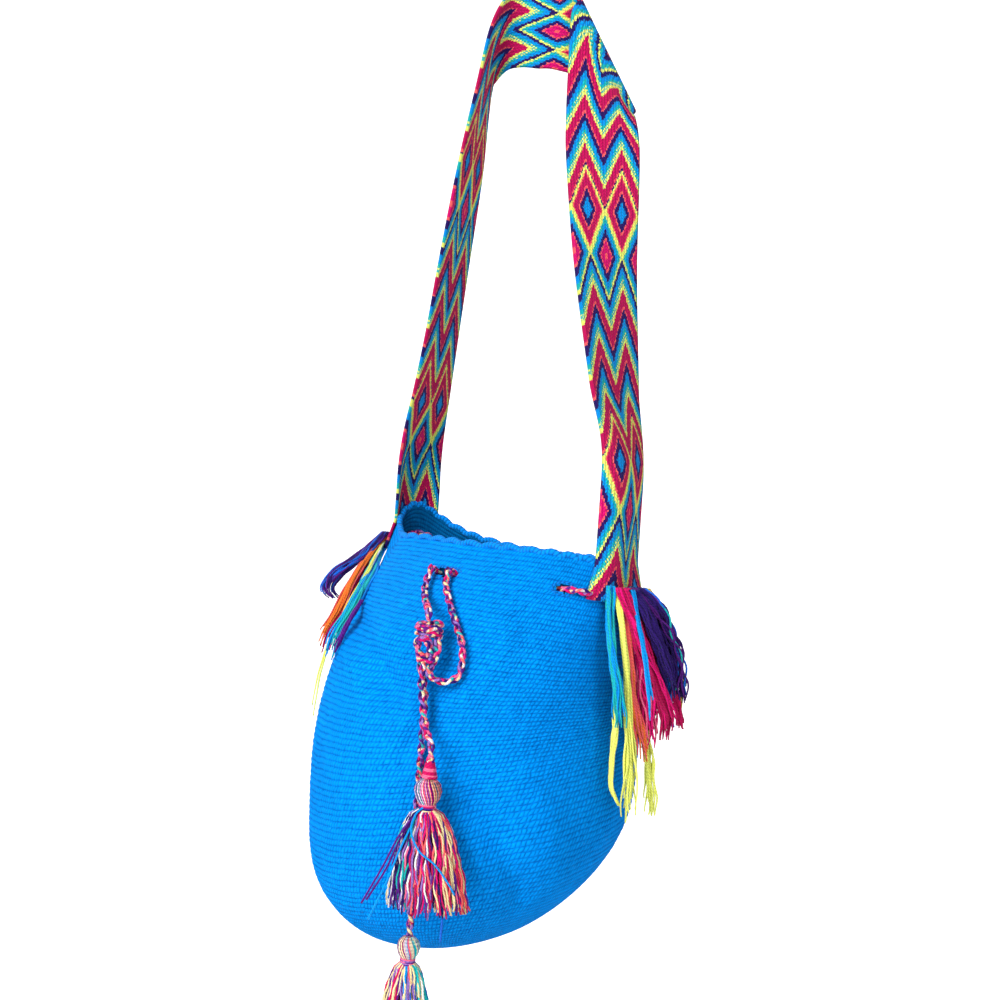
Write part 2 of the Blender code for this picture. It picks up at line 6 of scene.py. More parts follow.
import bpy
from mathutils import Matrix, Vector, noise
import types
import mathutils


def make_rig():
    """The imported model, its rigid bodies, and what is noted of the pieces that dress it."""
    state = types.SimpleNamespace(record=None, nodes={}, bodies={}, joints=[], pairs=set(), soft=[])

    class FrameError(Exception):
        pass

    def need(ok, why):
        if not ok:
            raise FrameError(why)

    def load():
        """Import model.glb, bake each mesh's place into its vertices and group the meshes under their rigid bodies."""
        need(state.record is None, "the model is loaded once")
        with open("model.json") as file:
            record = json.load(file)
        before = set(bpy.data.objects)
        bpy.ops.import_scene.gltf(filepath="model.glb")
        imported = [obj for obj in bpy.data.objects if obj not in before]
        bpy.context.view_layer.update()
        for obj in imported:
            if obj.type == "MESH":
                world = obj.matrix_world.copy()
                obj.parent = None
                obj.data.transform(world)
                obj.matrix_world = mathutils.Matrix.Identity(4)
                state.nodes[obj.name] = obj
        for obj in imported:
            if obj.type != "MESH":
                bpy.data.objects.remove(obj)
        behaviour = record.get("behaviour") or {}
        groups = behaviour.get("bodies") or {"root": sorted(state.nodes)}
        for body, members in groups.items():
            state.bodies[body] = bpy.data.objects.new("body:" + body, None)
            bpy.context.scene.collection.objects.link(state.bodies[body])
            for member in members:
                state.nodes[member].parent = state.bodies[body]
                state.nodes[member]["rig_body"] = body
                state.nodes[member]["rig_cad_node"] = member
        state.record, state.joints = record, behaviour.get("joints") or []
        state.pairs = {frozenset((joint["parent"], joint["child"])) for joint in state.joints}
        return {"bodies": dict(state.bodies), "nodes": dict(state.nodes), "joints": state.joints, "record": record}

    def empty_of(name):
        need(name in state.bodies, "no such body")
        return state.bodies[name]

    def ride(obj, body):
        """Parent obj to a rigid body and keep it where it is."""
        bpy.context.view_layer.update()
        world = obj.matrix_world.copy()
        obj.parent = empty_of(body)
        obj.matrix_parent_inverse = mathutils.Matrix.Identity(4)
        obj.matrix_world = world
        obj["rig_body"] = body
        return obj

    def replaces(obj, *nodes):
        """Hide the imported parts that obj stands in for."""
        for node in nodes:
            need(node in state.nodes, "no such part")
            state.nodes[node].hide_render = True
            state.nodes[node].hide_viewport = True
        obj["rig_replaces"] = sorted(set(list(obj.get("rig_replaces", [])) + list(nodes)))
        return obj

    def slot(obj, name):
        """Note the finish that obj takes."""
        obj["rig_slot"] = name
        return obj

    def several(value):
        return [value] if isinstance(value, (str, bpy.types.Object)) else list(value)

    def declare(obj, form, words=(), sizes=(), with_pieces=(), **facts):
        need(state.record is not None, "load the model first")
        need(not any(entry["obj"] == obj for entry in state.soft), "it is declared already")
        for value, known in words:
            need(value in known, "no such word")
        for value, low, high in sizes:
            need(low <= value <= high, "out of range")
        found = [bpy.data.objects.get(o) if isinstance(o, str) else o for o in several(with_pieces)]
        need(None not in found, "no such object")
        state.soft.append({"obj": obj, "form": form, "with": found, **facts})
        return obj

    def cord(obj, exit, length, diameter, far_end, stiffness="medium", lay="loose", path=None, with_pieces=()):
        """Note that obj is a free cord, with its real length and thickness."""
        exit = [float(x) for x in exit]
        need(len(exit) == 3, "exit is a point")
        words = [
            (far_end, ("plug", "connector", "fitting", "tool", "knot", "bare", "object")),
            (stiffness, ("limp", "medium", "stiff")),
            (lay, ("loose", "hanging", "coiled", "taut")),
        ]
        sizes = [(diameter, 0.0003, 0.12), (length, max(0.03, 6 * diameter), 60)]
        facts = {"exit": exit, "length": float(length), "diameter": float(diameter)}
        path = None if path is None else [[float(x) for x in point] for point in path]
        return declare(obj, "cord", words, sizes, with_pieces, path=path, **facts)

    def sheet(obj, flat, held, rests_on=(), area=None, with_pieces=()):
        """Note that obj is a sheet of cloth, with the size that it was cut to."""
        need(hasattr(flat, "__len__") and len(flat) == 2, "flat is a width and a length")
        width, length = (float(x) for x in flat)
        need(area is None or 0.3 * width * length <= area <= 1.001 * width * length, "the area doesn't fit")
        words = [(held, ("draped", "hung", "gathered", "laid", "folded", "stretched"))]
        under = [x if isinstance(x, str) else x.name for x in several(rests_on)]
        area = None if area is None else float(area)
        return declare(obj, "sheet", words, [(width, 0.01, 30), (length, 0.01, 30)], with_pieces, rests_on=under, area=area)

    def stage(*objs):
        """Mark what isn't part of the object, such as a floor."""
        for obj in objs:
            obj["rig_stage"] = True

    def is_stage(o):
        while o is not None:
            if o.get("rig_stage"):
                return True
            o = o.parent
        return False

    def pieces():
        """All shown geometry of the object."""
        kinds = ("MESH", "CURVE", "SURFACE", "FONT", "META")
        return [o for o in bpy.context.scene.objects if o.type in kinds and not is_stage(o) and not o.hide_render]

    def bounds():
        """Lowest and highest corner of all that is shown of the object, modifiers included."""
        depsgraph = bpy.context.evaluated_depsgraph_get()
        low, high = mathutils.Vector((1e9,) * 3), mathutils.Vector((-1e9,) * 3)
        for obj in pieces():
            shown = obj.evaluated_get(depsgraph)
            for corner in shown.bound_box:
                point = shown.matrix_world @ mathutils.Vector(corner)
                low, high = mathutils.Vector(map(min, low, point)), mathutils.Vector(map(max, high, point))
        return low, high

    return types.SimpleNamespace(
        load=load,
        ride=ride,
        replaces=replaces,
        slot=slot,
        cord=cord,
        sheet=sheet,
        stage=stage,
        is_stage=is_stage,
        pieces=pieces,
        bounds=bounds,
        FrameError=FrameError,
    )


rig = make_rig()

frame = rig.load()
CAD_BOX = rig.bounds()
MM = 0.001

# The shape, as in part.py apart from what a comment names as the scene's own.
WALL = 3.5 * MM
STRAP_DROP = 357 * MM
BELLY_DROP = 145 * MM
WALL_DROP = 183 * MM
BOTTOM_DEPTH = 112 * MM  # the scene's own: the photo shows the base 10 mm higher than part.py does
RIM_HALF_LENGTH = 125 * MM
RIM_HALF_WIDTH = 51 * MM
BELLY_RADIUS = 120.5 * MM
BOTTOM_ROUNDNESS = 2.15
RIM_CENTRE = Vector((-3 * MM, 0))
BELLY_CENTRE = Vector((-10.5 * MM, -4 * MM))
STRAP_AXIS = math.radians(-55)
SCALLOPS = 36
# Where the rim rises or dips: angle, half width in degrees, height.
RIM_LIFTS = (
    (180, 30, 20 * MM),
    (-90, 45, 3 * MM),
    (0, 25, -3 * MM),
    (95, 45, -6 * MM),
    (-138, 26, -7 * MM),  # the scene's own, as the next is: the rim's front is lower
    (-88, 42, -6 * MM),
)
RIM_TILT = -0.05
BASE_TILT = 0.23
GATHERS = 9
GATHER_DEPTH = 1.4 * MM
GATHER_REACH = 34 * MM
SLOUCH_DENT = (-72, 99 * MM, 22, 14 * MM, -6 * MM)
SLOUCH_SWELL = (-70, 66 * MM, 26, 17 * MM, 4 * MM)
FOLD_LINE = ((-38, 78 * MM), (-42, 105 * MM), (-43, 132 * MM), (-36, 160 * MM), (-24, 190 * MM))
FOLD_HALF_WIDTH = 7.5
FOLD_HALF_HEIGHT = 17 * MM
FOLD_DEPTH = -2.4 * MM
EYELET_DROP = 21 * MM
EYELET_LENGTH = 16 * MM
EYELET_HEIGHT = 8.5 * MM
EYELETS = (-21, -5, 51, 66, 90, 108, 130, 150)  # the first two are the scene's own
SLIT_ANGLE = -76
SLIT_LENGTH = 31 * MM
SLIT_EXITS = (-80, -72)
SLOTS = (*((angle, EYELET_LENGTH) for angle in EYELETS), (SLIT_ANGLE, SLIT_LENGTH))
STRAP_ENDS = (184, 16)
STRAP_WIDTH = 56 * MM
STRAP_THICKNESS = 2.4 * MM
STRAP_OVERLAP = 25 * MM
STRAP_BLEND = 75 * MM
SEAT_GAP = 0.35 * MM
# The strap's middle: place in mm, the way its width runs, how steeply that rises, its stretch.
STRAP_ROUTE = (
    ((-75, 97, -313), 236, 0, 1.0),
    ((-68, 78, -257), 242, 0, 1.0),
    ((-61, 60, -202), 247, 0, 1.0),
    ((-54, 40, -141), 250, 0, 1.0),
    ((-46, 20, -76), 254, 0, 1.0),
    ((-40, 5, -26), 262, 8, 1.0),
    ((-35, 1, 6), 267, 40, 1.0),
    ((-25, 0, 25), 269, 76, 1.0),
    ((-13, 0, 28), 270, 90, 1.0),
    ((0, 0, 28), 270, 90, 1.0),
    ((13, 0, 28), 270, 90, 1.0),
    ((32, 1, 25), 180, 72, 1.2),
    ((47, 2, 16), 180, 62, 1.6),
    ((51, -4, 12), 180, 60, 1.66),
    ((47, -10, 3), 180, 56, 1.6),
    ((48, -15, -19), 182, 34, 1.12),
    ((50, -22, -46), 186, 12, 1.0),
    ((52, -30, -76), 194, 2, 1.0),
    ((58, -50, -154), 214, 0, 1.0),
    ((69, -72, -243), 230, 0, 1.0),
    ((77, -86, -312), 242, 0, 1.0),
)
STRAP_FLARE = Vector((10 * MM, -3 * MM, 0))  # the scene's own: the right end's far edge stands off
STRAP_MIDDLE = Vector((22, 0, 28)) * MM  # where the strap's pattern turns round
CORD_RADIUS = 2.4 * MM
ROW_RIDGE_CAD = 0.45 * MM
KNOT_DROP = 68 * MM
KNOT_X = -43 * MM
KNOT_RADIUS = 9.5 * MM
KNOT_HEIGHT = 21 * MM
SWING_STANDOFF = 6 * MM
SWING_GAP = 2.8 * MM
UPPER_END_X = -38 * MM
UPPER_END_Z = -499 * MM
LOWER_END_X = -46 * MM
LOWER_END_Z = -619 * MM

# The crochet.
ROW_PITCH = 4.2 * MM
RINGS_PER_ROW = 2
STITCHES = 224  # round the body
COLUMNS_PER_STITCH = 2
STITCH_SLIDE = 0.37  # of a stitch, from one row to the next
STITCH_LEAN = 0.55  # of a stitch, within a row
ROW_WANDER = 0.7  # of a row
STITCH_WANDER = 1.2  # of a stitch
STITCH_LUMP = 0.30 * MM
ROW_LUMP = 0.12 * MM
UNEVEN_DEPTH = 2.2 * MM
UNEVEN_LENGTH = 60 * MM
EDGING_RADIUS = 2.2 * MM
EDGING_RISE = 2.3 * MM
EDGING_LOOP = 3.1 * MM
HEM_RADIUS = 0.9 * MM

# The strap's weave. Its lengths run down the strap from where its pattern turns round.
COLOUR_CORDS = 56
WRAP_PITCH = 1.15 * MM
WRAP_SLANT = 0.55
RELIEF_CORDS = 24
RELIEF_PITCH = 2.4 * MM
HATCH_PITCH = 3.4 * MM
HATCH_GAP = 0.6
HATCH_START, HATCH_END = 0.38, 0.50
PATTERN_START = 8.5 * MM
EARLY_REACH = 100 * MM
EARLY_SHIFT = 18 * MM  # how much the first bands are drawn out
DIAMOND_PLACE = 193.5 * MM
DIAMOND_HALF_REPEAT = 95 * MM
DIAMOND_HALF = 35 * MM
ZIGZAG_REPEAT = 40 * MM
ZIGZAG_SHIFT = 1.75  # from the zigzag below the diamonds to the one above

# The yarns.
YARN_TWISTS = 420  # to a metre
FRINGE_YARN = 0.75 * MM
FRINGE_CLEAR = 3.2 * MM
FRINGE_STEP = 2.5 * MM
FRINGE_WAVE = 0.16
FRINGE_DRIFT = 1.5 * MM
TASSEL_YARN = 0.72 * MM
STRAY_YARN = 0.7 * MM
CAP_YARN = 0.95 * MM
CAP_TURNS = 9
BINDING_YARN = 0.62 * MM
BINDING_TURNS = 5

# What the floor adds to the light that falls on it, so that it looks white and keeps the shadow.
FLOOR_GLOW = 0.55

# The photograph's camera.
CAMERA_PLACE = Vector((-0.006, -1.10, -0.325))
CAMERA_LENS = 52.8
CAMERA_ROLL = math.radians(4)
SENSOR_WIDTH = 36
PHOTO_SIZE = 1000
FOCAL_PX = CAMERA_LENS / SENSOR_WIDTH * PHOTO_SIZE

# The yarns' colours.
NAVY = (0.022, 0.006, 0.12)
SKY = (0.0, 0.29, 0.80)
TURQUOISE = (0.01, 0.46, 0.46)
LIME = (0.86, 0.90, 0.17)
CRIMSON = (0.56, 0.004, 0.10)
MAGENTA = (0.72, 0.004, 0.16)
CORAL = (1.0, 0.13, 0.13)
ORANGE = (0.95, 0.20, 0.03)
PINK = (0.90, 0.14, 0.28)
CREAM = (0.90, 0.72, 0.38)
PURPLE = (0.10, 0.012, 0.22)
LAVENDER = (0.30, 0.16, 0.50)
WHITE = (0.85, 0.82, 0.78)
YELLOW = (0.85, 0.62, 0.06)
BLUE = (0.01, 0.12, 0.62)

# The strap's bands, each with where it starts.
ZIGZAG = (
    (0, NAVY),
    (0.14, SKY),
    (0.30, TURQUOISE),
    (0.50, LIME),
    (0.58, CRIMSON),
    (0.90, CORAL),
    (0.95, NAVY),
)
BLUE_DIAMOND = ((0, SKY), (0.26, NAVY), (0.46, CORAL), (0.53, CRIMSON), (0.82, CORAL), (0.88, LIME))
PINK_DIAMOND = (
    (0, CORAL),
    (0.10, MAGENTA),
    (0.34, CORAL),
    (0.41, NAVY),
    (0.60, SKY),
    (0.76, TURQUOISE),
    (0.90, LIME),
)


def seen(px, py, depth):
    """The place that the photograph shows at this pixel, at this distance behind y = 0."""
    dx, dy = px - PHOTO_SIZE / 2, py - PHOTO_SIZE / 2
    across = dx * math.cos(CAMERA_ROLL) + dy * math.sin(CAMERA_ROLL)
    down = -dx * math.sin(CAMERA_ROLL) + dy * math.cos(CAMERA_ROLL)
    reach = (depth - CAMERA_PLACE.y) / FOCAL_PX
    return Vector((CAMERA_PLACE.x + across * reach, depth, CAMERA_PLACE.z - down * reach))


def make_camera():
    data = bpy.data.cameras.new("camera")
    data.lens = CAMERA_LENS
    data.sensor_width = SENSOR_WIDTH
    camera = bpy.data.objects.new("camera", data)
    bpy.context.scene.collection.objects.link(camera)
    upright = Matrix.Rotation(math.radians(90), 4, "X")
    camera.matrix_world = Matrix.Translation(CAMERA_PLACE) @ upright @ Matrix.Rotation(CAMERA_ROLL, 4, "Z")
    bpy.context.scene.camera = camera


def mix(a, b, share):
    return a + (b - a) * share


def ease(share):
    share = min(max(share, 0), 1)
    return share * share * (3 - 2 * share)


def bump(value, half_width):
    return math.exp(-((value / half_width) ** 2))


def turn_between(angle, centre):
    return (angle - centre + 180) % 360 - 180


def catmull(points, share):
    """A point on the smooth curve through the points, at a share of the way along them."""
    spans = len(points) - 1
    place = min(max(share, 0), 1) * spans
    i = min(int(place), spans - 1)
    t = place - i
    p1, p2 = points[i], points[i + 1]
    p0 = points[i - 1] if i else p1 * 2 - p2
    p3 = points[i + 2] if i + 2 <= spans else p2 * 2 - p1
    bend = p0 * 2 - p1 * 5 + p2 * 4 - p3
    twist = p1 * 3 - p0 - p2 * 3 + p3
    return (p1 * 2 + (p2 - p0) * t + bend * t**2 + twist * t**3) * 0.5


def distances_along(points):
    """How far along the route each of its points is."""
    along = [0.0]
    for a, b in zip(points, points[1:]):
        along.append(along[-1] + (b - a).length)
    return along


def evenly(along, count):
    """Equal steps along a route: the point before each, and its share of the way to the next."""
    j = 0
    for k in range(count + 1):
        want = along[-1] * k / count
        while j < len(along) - 2 and along[j + 1] < want:
            j += 1
        yield j, (want - along[j]) / (along[j + 1] - along[j])


def smooth_route(points, step):
    """Points about a step apart along the smooth curve through the route's own points."""
    fine = [catmull(points, k / 500) for k in range(501)]
    along = distances_along(fine)
    count = max(2, round(along[-1] / step))
    return [fine[j].lerp(fine[j + 1], share) for j, share in evenly(along, count)]


def length_of(route):
    return sum((b - a).length for a, b in zip(route, route[1:]))


def fold_at(angle, drop):
    out = GATHER_DEPTH * math.cos(GATHERS * math.radians(angle)) * math.exp(-drop / GATHER_REACH)
    for centre, level, half_width, half_height, depth in (SLOUCH_DENT, SLOUCH_SWELL):
        out += depth * bump(turn_between(angle, centre), half_width) * bump(drop - level, half_height)
    for centre, level in FOLD_LINE:
        width = bump(turn_between(angle, centre), FOLD_HALF_WIDTH)
        out += FOLD_DEPTH * width * bump(drop - level, FOLD_HALF_HEIGHT)
    return out


def body_point(angle, drop, out=0.0, under=0.0):
    """A point of the body's outer face. under runs from 0 at the wall's foot to 1 at the base's middle."""
    turn = math.radians(angle)
    swell = math.sin(math.pi / 2 * min(max(drop, 0) / BELLY_DROP, 1))
    centre = RIM_CENTRE.lerp(BELLY_CENTRE, swell)
    along = mix(RIM_HALF_LENGTH, BELLY_RADIUS, swell)
    across = mix(RIM_HALF_WIDTH, BELLY_RADIUS, swell)
    roll = math.pi / 2 * under
    inward = max(math.cos(roll), 0) ** (2 / BOTTOM_ROUNDNESS)
    depth = BOTTOM_DEPTH * math.sin(roll) ** (2 / BOTTOM_ROUNDNESS)
    reach = out + fold_at(angle, drop + depth) * inward
    heading = Vector((math.cos(STRAP_AXIS), math.sin(STRAP_AXIS)))
    side = Vector((-heading.y, heading.x))
    flat = heading * ((along * inward + reach) * math.cos(turn))
    flat += side * ((across * inward + reach) * math.sin(turn))
    lift = sum(height * bump(turn_between(angle, at), half) for at, half, height in RIM_LIFTS)
    lift *= 1 - ease(drop / BELLY_DROP)
    tilt = mix(RIM_TILT, BASE_TILT, ease((drop - 0.4 * BELLY_DROP) / (WALL_DROP - 0.4 * BELLY_DROP)))
    return Vector((*(centre + flat), -STRAP_DROP - drop - depth + lift + tilt * flat.x))


# Soft folds that only the looks show: the angles and the levels below the rim along each, its
# half width and its depth.
CREASES = (
    (((-124, 62 * MM), (-95, 73 * MM), (-82, 87 * MM), (-70, 104 * MM)), 9 * MM, -6.0 * MM),
    (((-110, 84 * MM), (-92, 92 * MM), (-80, 108 * MM)), 8 * MM, 2.2 * MM),
    (((-62, 22 * MM), (-47, 38 * MM), (-37, 56 * MM), (-36, 80 * MM), (-42, 100 * MM)), 11 * MM, 4.4 * MM),
    (((-57, 60 * MM), (-53, 85 * MM), (-54, 118 * MM), (-60, 140 * MM)), 9 * MM, -4.2 * MM),
    (((-34, 170 * MM), (-24, 206 * MM), (-14, 246 * MM)), 9 * MM, -4.8 * MM),
    (((-20, 160 * MM), (-8, 200 * MM), (0, 240 * MM)), 12 * MM, 2.2 * MM),
)
MM_PER_DEGREE = 2.0 * MM


def crease_at(angle, level):
    out = 0.0
    for line, half_width, depth in CREASES:
        nearest = 1.0
        for (angle_a, level_a), (angle_b, level_b) in zip(line, line[1:]):
            run = Vector((turn_between(angle_b, angle_a) * MM_PER_DEGREE, level_b - level_a))
            spot = Vector((turn_between(angle, angle_a) * MM_PER_DEGREE, level - level_a))
            share = min(max(spot.dot(run) / run.length_squared, 0), 1)
            nearest = min(nearest, (spot - run * share).length)
        out += depth * bump(nearest, half_width)
    return out


def soft_at(angle, drop, under):
    """How far the soft folds and the cloth's unevenness move the wall out or in."""
    level = drop + BOTTOM_DEPTH * math.sin(math.pi / 2 * under) ** (2 / BOTTOM_ROUNDNESS)
    turn = math.radians(angle)
    spot = Vector((2.2 * math.cos(turn), 2.2 * math.sin(turn), level / UNEVEN_LENGTH))
    uneven = UNEVEN_DEPTH * noise.noise(spot) * ease(level / UNEVEN_LENGTH)
    return (uneven + crease_at(angle, level)) * (1 - under**3)


def body_normal(angle, drop):
    round_step = body_point(angle + 1, drop) - body_point(angle - 1, drop)
    down_step = body_point(angle, drop + 1 * MM) - body_point(angle, drop - 1 * MM)
    return down_step.cross(round_step).normalized()


def off_wall(angle, drop, out):
    return body_point(angle, drop) + body_normal(angle, drop) * out


def round_by(angle, radius):
    """The vector that points this way from a piece's upright axis."""
    return Vector((math.cos(angle) * radius, math.sin(angle) * radius, 0))


def down_by(distance):
    return Vector((0, 0, -distance))


def angle_along(start, distance, drop):
    angle, gone, turn = start, 0.0, math.copysign(0.5, distance)
    here = body_point(angle, drop)
    while gone < abs(distance):
        angle += turn
        there = body_point(angle, drop)
        gone += (there - here).length
        here = there
    return angle


def front_angle(x, drop):
    low, high = -140.0, 0.0
    for _ in range(40):
        middle = (low + high) / 2
        if body_point(middle, drop).x < x:
            low = middle
        else:
            high = middle
    return low


def front_point(x, drop, out):
    return off_wall(front_angle(x, drop), drop, out)


def clear_of_wall(point, out):
    """The point, moved off the wall if it is nearer to it than this."""
    drop = min(-STRAP_DROP - point.z, WALL_DROP)
    near = min(range(-180, 180, 2), key=lambda angle: (body_point(angle, drop) - point).length)
    wall, normal = body_point(near, drop), body_normal(near, drop)
    away = (point - wall).dot(normal)
    return point + normal * (out - away) if away < out else point


# Node materials.


def by_node(operation, swapped=False):
    """A method that does this operation with a Math node."""

    def method(self, *others):
        return self.nodes.math(operation, *((*others, self) if swapped else (self, *others)))

    return method


class Value:
    """What a node gives, with the arithmetic that further nodes can do on it."""

    def __init__(self, nodes, socket):
        self.nodes = nodes
        self.socket = socket

    __add__ = by_node("ADD")
    __radd__ = by_node("ADD", swapped=True)
    __sub__ = by_node("SUBTRACT")
    __rsub__ = by_node("SUBTRACT", swapped=True)
    __mul__ = by_node("MULTIPLY")
    __truediv__ = by_node("DIVIDE")
    __pow__ = by_node("POWER")
    __mod__ = by_node("MODULO")
    __lt__ = by_node("LESS_THAN")
    __gt__ = by_node("GREATER_THAN")
    __abs__ = by_node("ABSOLUTE")
    floor = by_node("FLOOR")
    fract = by_node("FRACT")
    sine = by_node("SINE")


class Nodes:
    """Builds one Principled material's node tree."""

    def __init__(self, name):
        self.material = bpy.data.materials.new(name)
        self.material.use_nodes = True
        self.tree = self.material.node_tree
        self.shader = self.tree.nodes["Principled BSDF"]
        self.shader.inputs["Specular IOR Level"].default_value = 0.08

    def add(self, kind, **settings):
        node = self.tree.nodes.new(kind)
        for key, value in settings.items():
            setattr(node, key, value)
        return node

    def put(self, socket, value):
        """Links what a node gives to the socket, or sets a plain number or colour on it."""
        if isinstance(value, Value):
            self.tree.links.new(value.socket, socket)
        elif isinstance(value, tuple):
            socket.default_value = (*value, 1)
        else:
            socket.default_value = value

    def math(self, operation, *values):
        node = self.add("ShaderNodeMath", operation=operation)
        for socket, value in zip(node.inputs, values):
            self.put(socket, value)
        return Value(self, node.outputs[0])

    def blend(self, share, a, b, blend_type="MIX"):
        node = self.add("ShaderNodeMix", data_type="RGBA", blend_type=blend_type)
        for socket, value in zip((node.inputs[0], node.inputs[6], node.inputs[7]), (share, a, b)):
            self.put(socket, value)
        return Value(self, node.outputs[2])

    def times(self, colour, factor):
        grey = self.add("ShaderNodeCombineColor")
        for socket in grey.inputs:
            self.put(socket, factor)
        return self.blend(1.0, colour, Value(self, grey.outputs[0]), "MULTIPLY")

    def bands(self, value, stops):
        """Flat bands of colour, each from where it starts up to the next."""
        node = self.add("ShaderNodeValToRGB")
        ramp = node.color_ramp
        ramp.interpolation = "CONSTANT"
        while len(ramp.elements) > 1:
            ramp.elements.remove(ramp.elements[-1])
        ramp.elements[0].position = stops[0][0]
        ramp.elements[0].color = (*stops[0][1], 1)
        for place, colour in stops[1:]:
            ramp.elements.new(place).color = (*colour, 1)
        self.put(node.inputs[0], value)
        return Value(self, node.outputs[0])

    def noise(self, scale, detail=3.0):
        node = self.add("ShaderNodeTexNoise")
        node.inputs["Scale"].default_value = scale
        node.inputs["Detail"].default_value = detail
        node.inputs["Roughness"].default_value = 0.6
        place = self.add("ShaderNodeTexCoord").outputs["Object"]
        self.tree.links.new(place, node.inputs["Vector"])
        return Value(self, node.outputs[0])

    def uv(self):
        node = self.add("ShaderNodeUVMap", uv_map="weave")
        split = self.add("ShaderNodeSeparateXYZ")
        self.tree.links.new(node.outputs[0], split.inputs[0])
        return Value(self, split.outputs[0]), Value(self, split.outputs[1])

    def mesh_colour(self):
        return Value(self, self.add("ShaderNodeVertexColor", layer_name="yarn").outputs[0])

    def bump(self, height, distance, strength=1.0):
        node = self.add("ShaderNodeBump")
        self.put(node.inputs["Height"], height)
        node.inputs["Distance"].default_value = distance
        node.inputs["Strength"].default_value = strength
        return Value(self, node.outputs[0])

    def finish(self, colour, normal, roughness, sheen):
        self.put(self.shader.inputs["Base Color"], colour)
        self.put(self.shader.inputs["Normal"], normal)
        self.shader.inputs["Roughness"].default_value = roughness
        self.shader.inputs["Sheen Weight"].default_value = sheen
        self.shader.inputs["Sheen Roughness"].default_value = 0.5
        return self.material


def crochet_material(name, colour, painted_gap_shade):
    """Rows of stitches: u counts stitches round the body, and v counts rows."""
    n = Nodes(name)
    u, v = n.uv()
    # No two rows run quite level, and no two stitches are pulled equally tight.
    v = v + (n.noise(60.0, 2.0) - 0.5) * ROW_WANDER
    u = u + (n.noise(160.0, 2.0) - 0.5) * STITCH_WANDER
    row = v.fract()
    stitch = (u + v.floor() * STITCH_SLIDE + row * STITCH_LEAN).fract()
    height = (stitch * math.pi).sine() ** 0.6 * (row * math.pi).sine() ** 0.7
    plies = ((u * 3.0 + v * 4.0) * math.tau).sine()
    height = height + plies * 0.08
    # Here and there the rows lie closer, and the painted shade between them is hidden.
    tight = 0.3 + n.noise(220.0, 3.0) * 1.2
    height = 1.0 - (1.0 - height) * tight
    height = height + n.noise(900.0) * 0.25
    # Painted shade: where the height is low, down between the stitches and rows, the colour turns to the darker second
    # colour.
    with_gap_shade = n.blend(height**1.1, painted_gap_shade, colour)
    tone = 0.72 + n.noise(22.0, 2.0) * 0.3 + n.noise(600.0, 2.0) * 0.28
    n.shader.inputs["Specular IOR Level"].default_value = 0.03
    return n.finish(n.times(with_gap_shade, tone), n.bump(height, 1.4 * MM), 0.95, 0.0)


def leaning(column):
    """Minus 1 and 1 in turn, so that each cord is wrapped against its neighbour's slant."""
    return (column % 2.0) * 2.0 - 1.0


def strap_pattern(n, u, v):
    """Zigzag bands, with rows of diamonds that they meet edge to edge."""
    cord = u * COLOUR_CORDS
    column = cord.floor()
    slant = leaning(column) * cord.fract() * WRAP_SLANT
    wrapped = ((v / WRAP_PITCH + slant).floor() + 0.5) * WRAP_PITCH
    side = abs(wrapped - PATTERN_START)
    early = n.math("MAXIMUM", 1.0 - side / EARLY_REACH, 0.0)
    below = side - early * EARLY_SHIFT - DIAMOND_PLACE
    local = n.math("WRAP", below, DIAMOND_HALF_REPEAT, -DIAMOND_HALF_REPEAT)
    # The zigzag is 0 at the quarters of the width, and 1 at its edges and its middle.
    across = (column + 0.5) / COLOUR_CORDS
    zigzag = abs((across * 2.0).fract() - 0.5) * 2.0
    lower = (local - zigzag * DIAMOND_HALF) / ZIGZAG_REPEAT
    above = local < -DIAMOND_HALF / 2
    phase = (above * (lower + ZIGZAG_SHIFT) + (1.0 - above) * lower + 10.0).fract()
    # Between turquoise and lime the wraps of both show in turn.
    hatch = (column * 0.5 + v / HATCH_PITCH).fract() > HATCH_GAP
    in_hatch = (phase > HATCH_START) * (phase < HATCH_END)
    pattern = n.blend(hatch * in_hatch, n.bands(phase, ZIGZAG), LIME)
    blue_far = zigzag + abs(local + DIAMOND_HALF) / DIAMOND_HALF
    pink_far = 1.0 - zigzag + abs(local) / DIAMOND_HALF
    for far, bands in ((blue_far, BLUE_DIAMOND), (pink_far, PINK_DIAMOND)):
        pattern = n.blend(far < 1.0, pattern, n.bands(far, bands))
    return pattern


def strap_material(name):
    """The strap's weave. Its relief is coarser than its pattern: slanted stitches in ribs."""
    n = Nodes(name)
    u, v = n.uv()
    rib = u * RELIEF_CORDS
    stitch = (v / RELIEF_PITCH + leaning(rib.floor()) * rib.fract()).fract()
    height = (rib.fract() * math.pi).sine() ** 0.5 * (stitch * math.pi).sine() ** 0.5
    fuzz = n.noise(1400.0)
    # Painted shade: the weave darkens between its ribs and down between their stitches; the fuzz adds random tone.
    shade = 0.58 + height * 0.55 + fuzz * 0.2
    height = height + fuzz * 0.25
    return n.finish(n.times(strap_pattern(n, u, v), shade), n.bump(height, 1.2 * MM, 0.9), 0.9, 0.04)


def yarn_material(name, twist=1.0):
    """Plied yarn: its colour comes from the mesh, and u runs round it and v along it."""
    n = Nodes(name)
    u, v = n.uv()
    ply = abs(((u * 2.0 + v * (YARN_TWISTS * twist)) * math.pi).sine())
    fuzz = n.noise(1600.0)
    height = ply + fuzz * 0.4
    # Painted shade: the yarn darkens in the grooves between its plies; the fuzz adds random tone.
    tone = 0.62 + ply * 0.3 + fuzz * 0.3
    return n.finish(n.times(n.mesh_colour(), tone), n.bump(height, 0.4 * MM, 0.8), 0.85, 0.06)


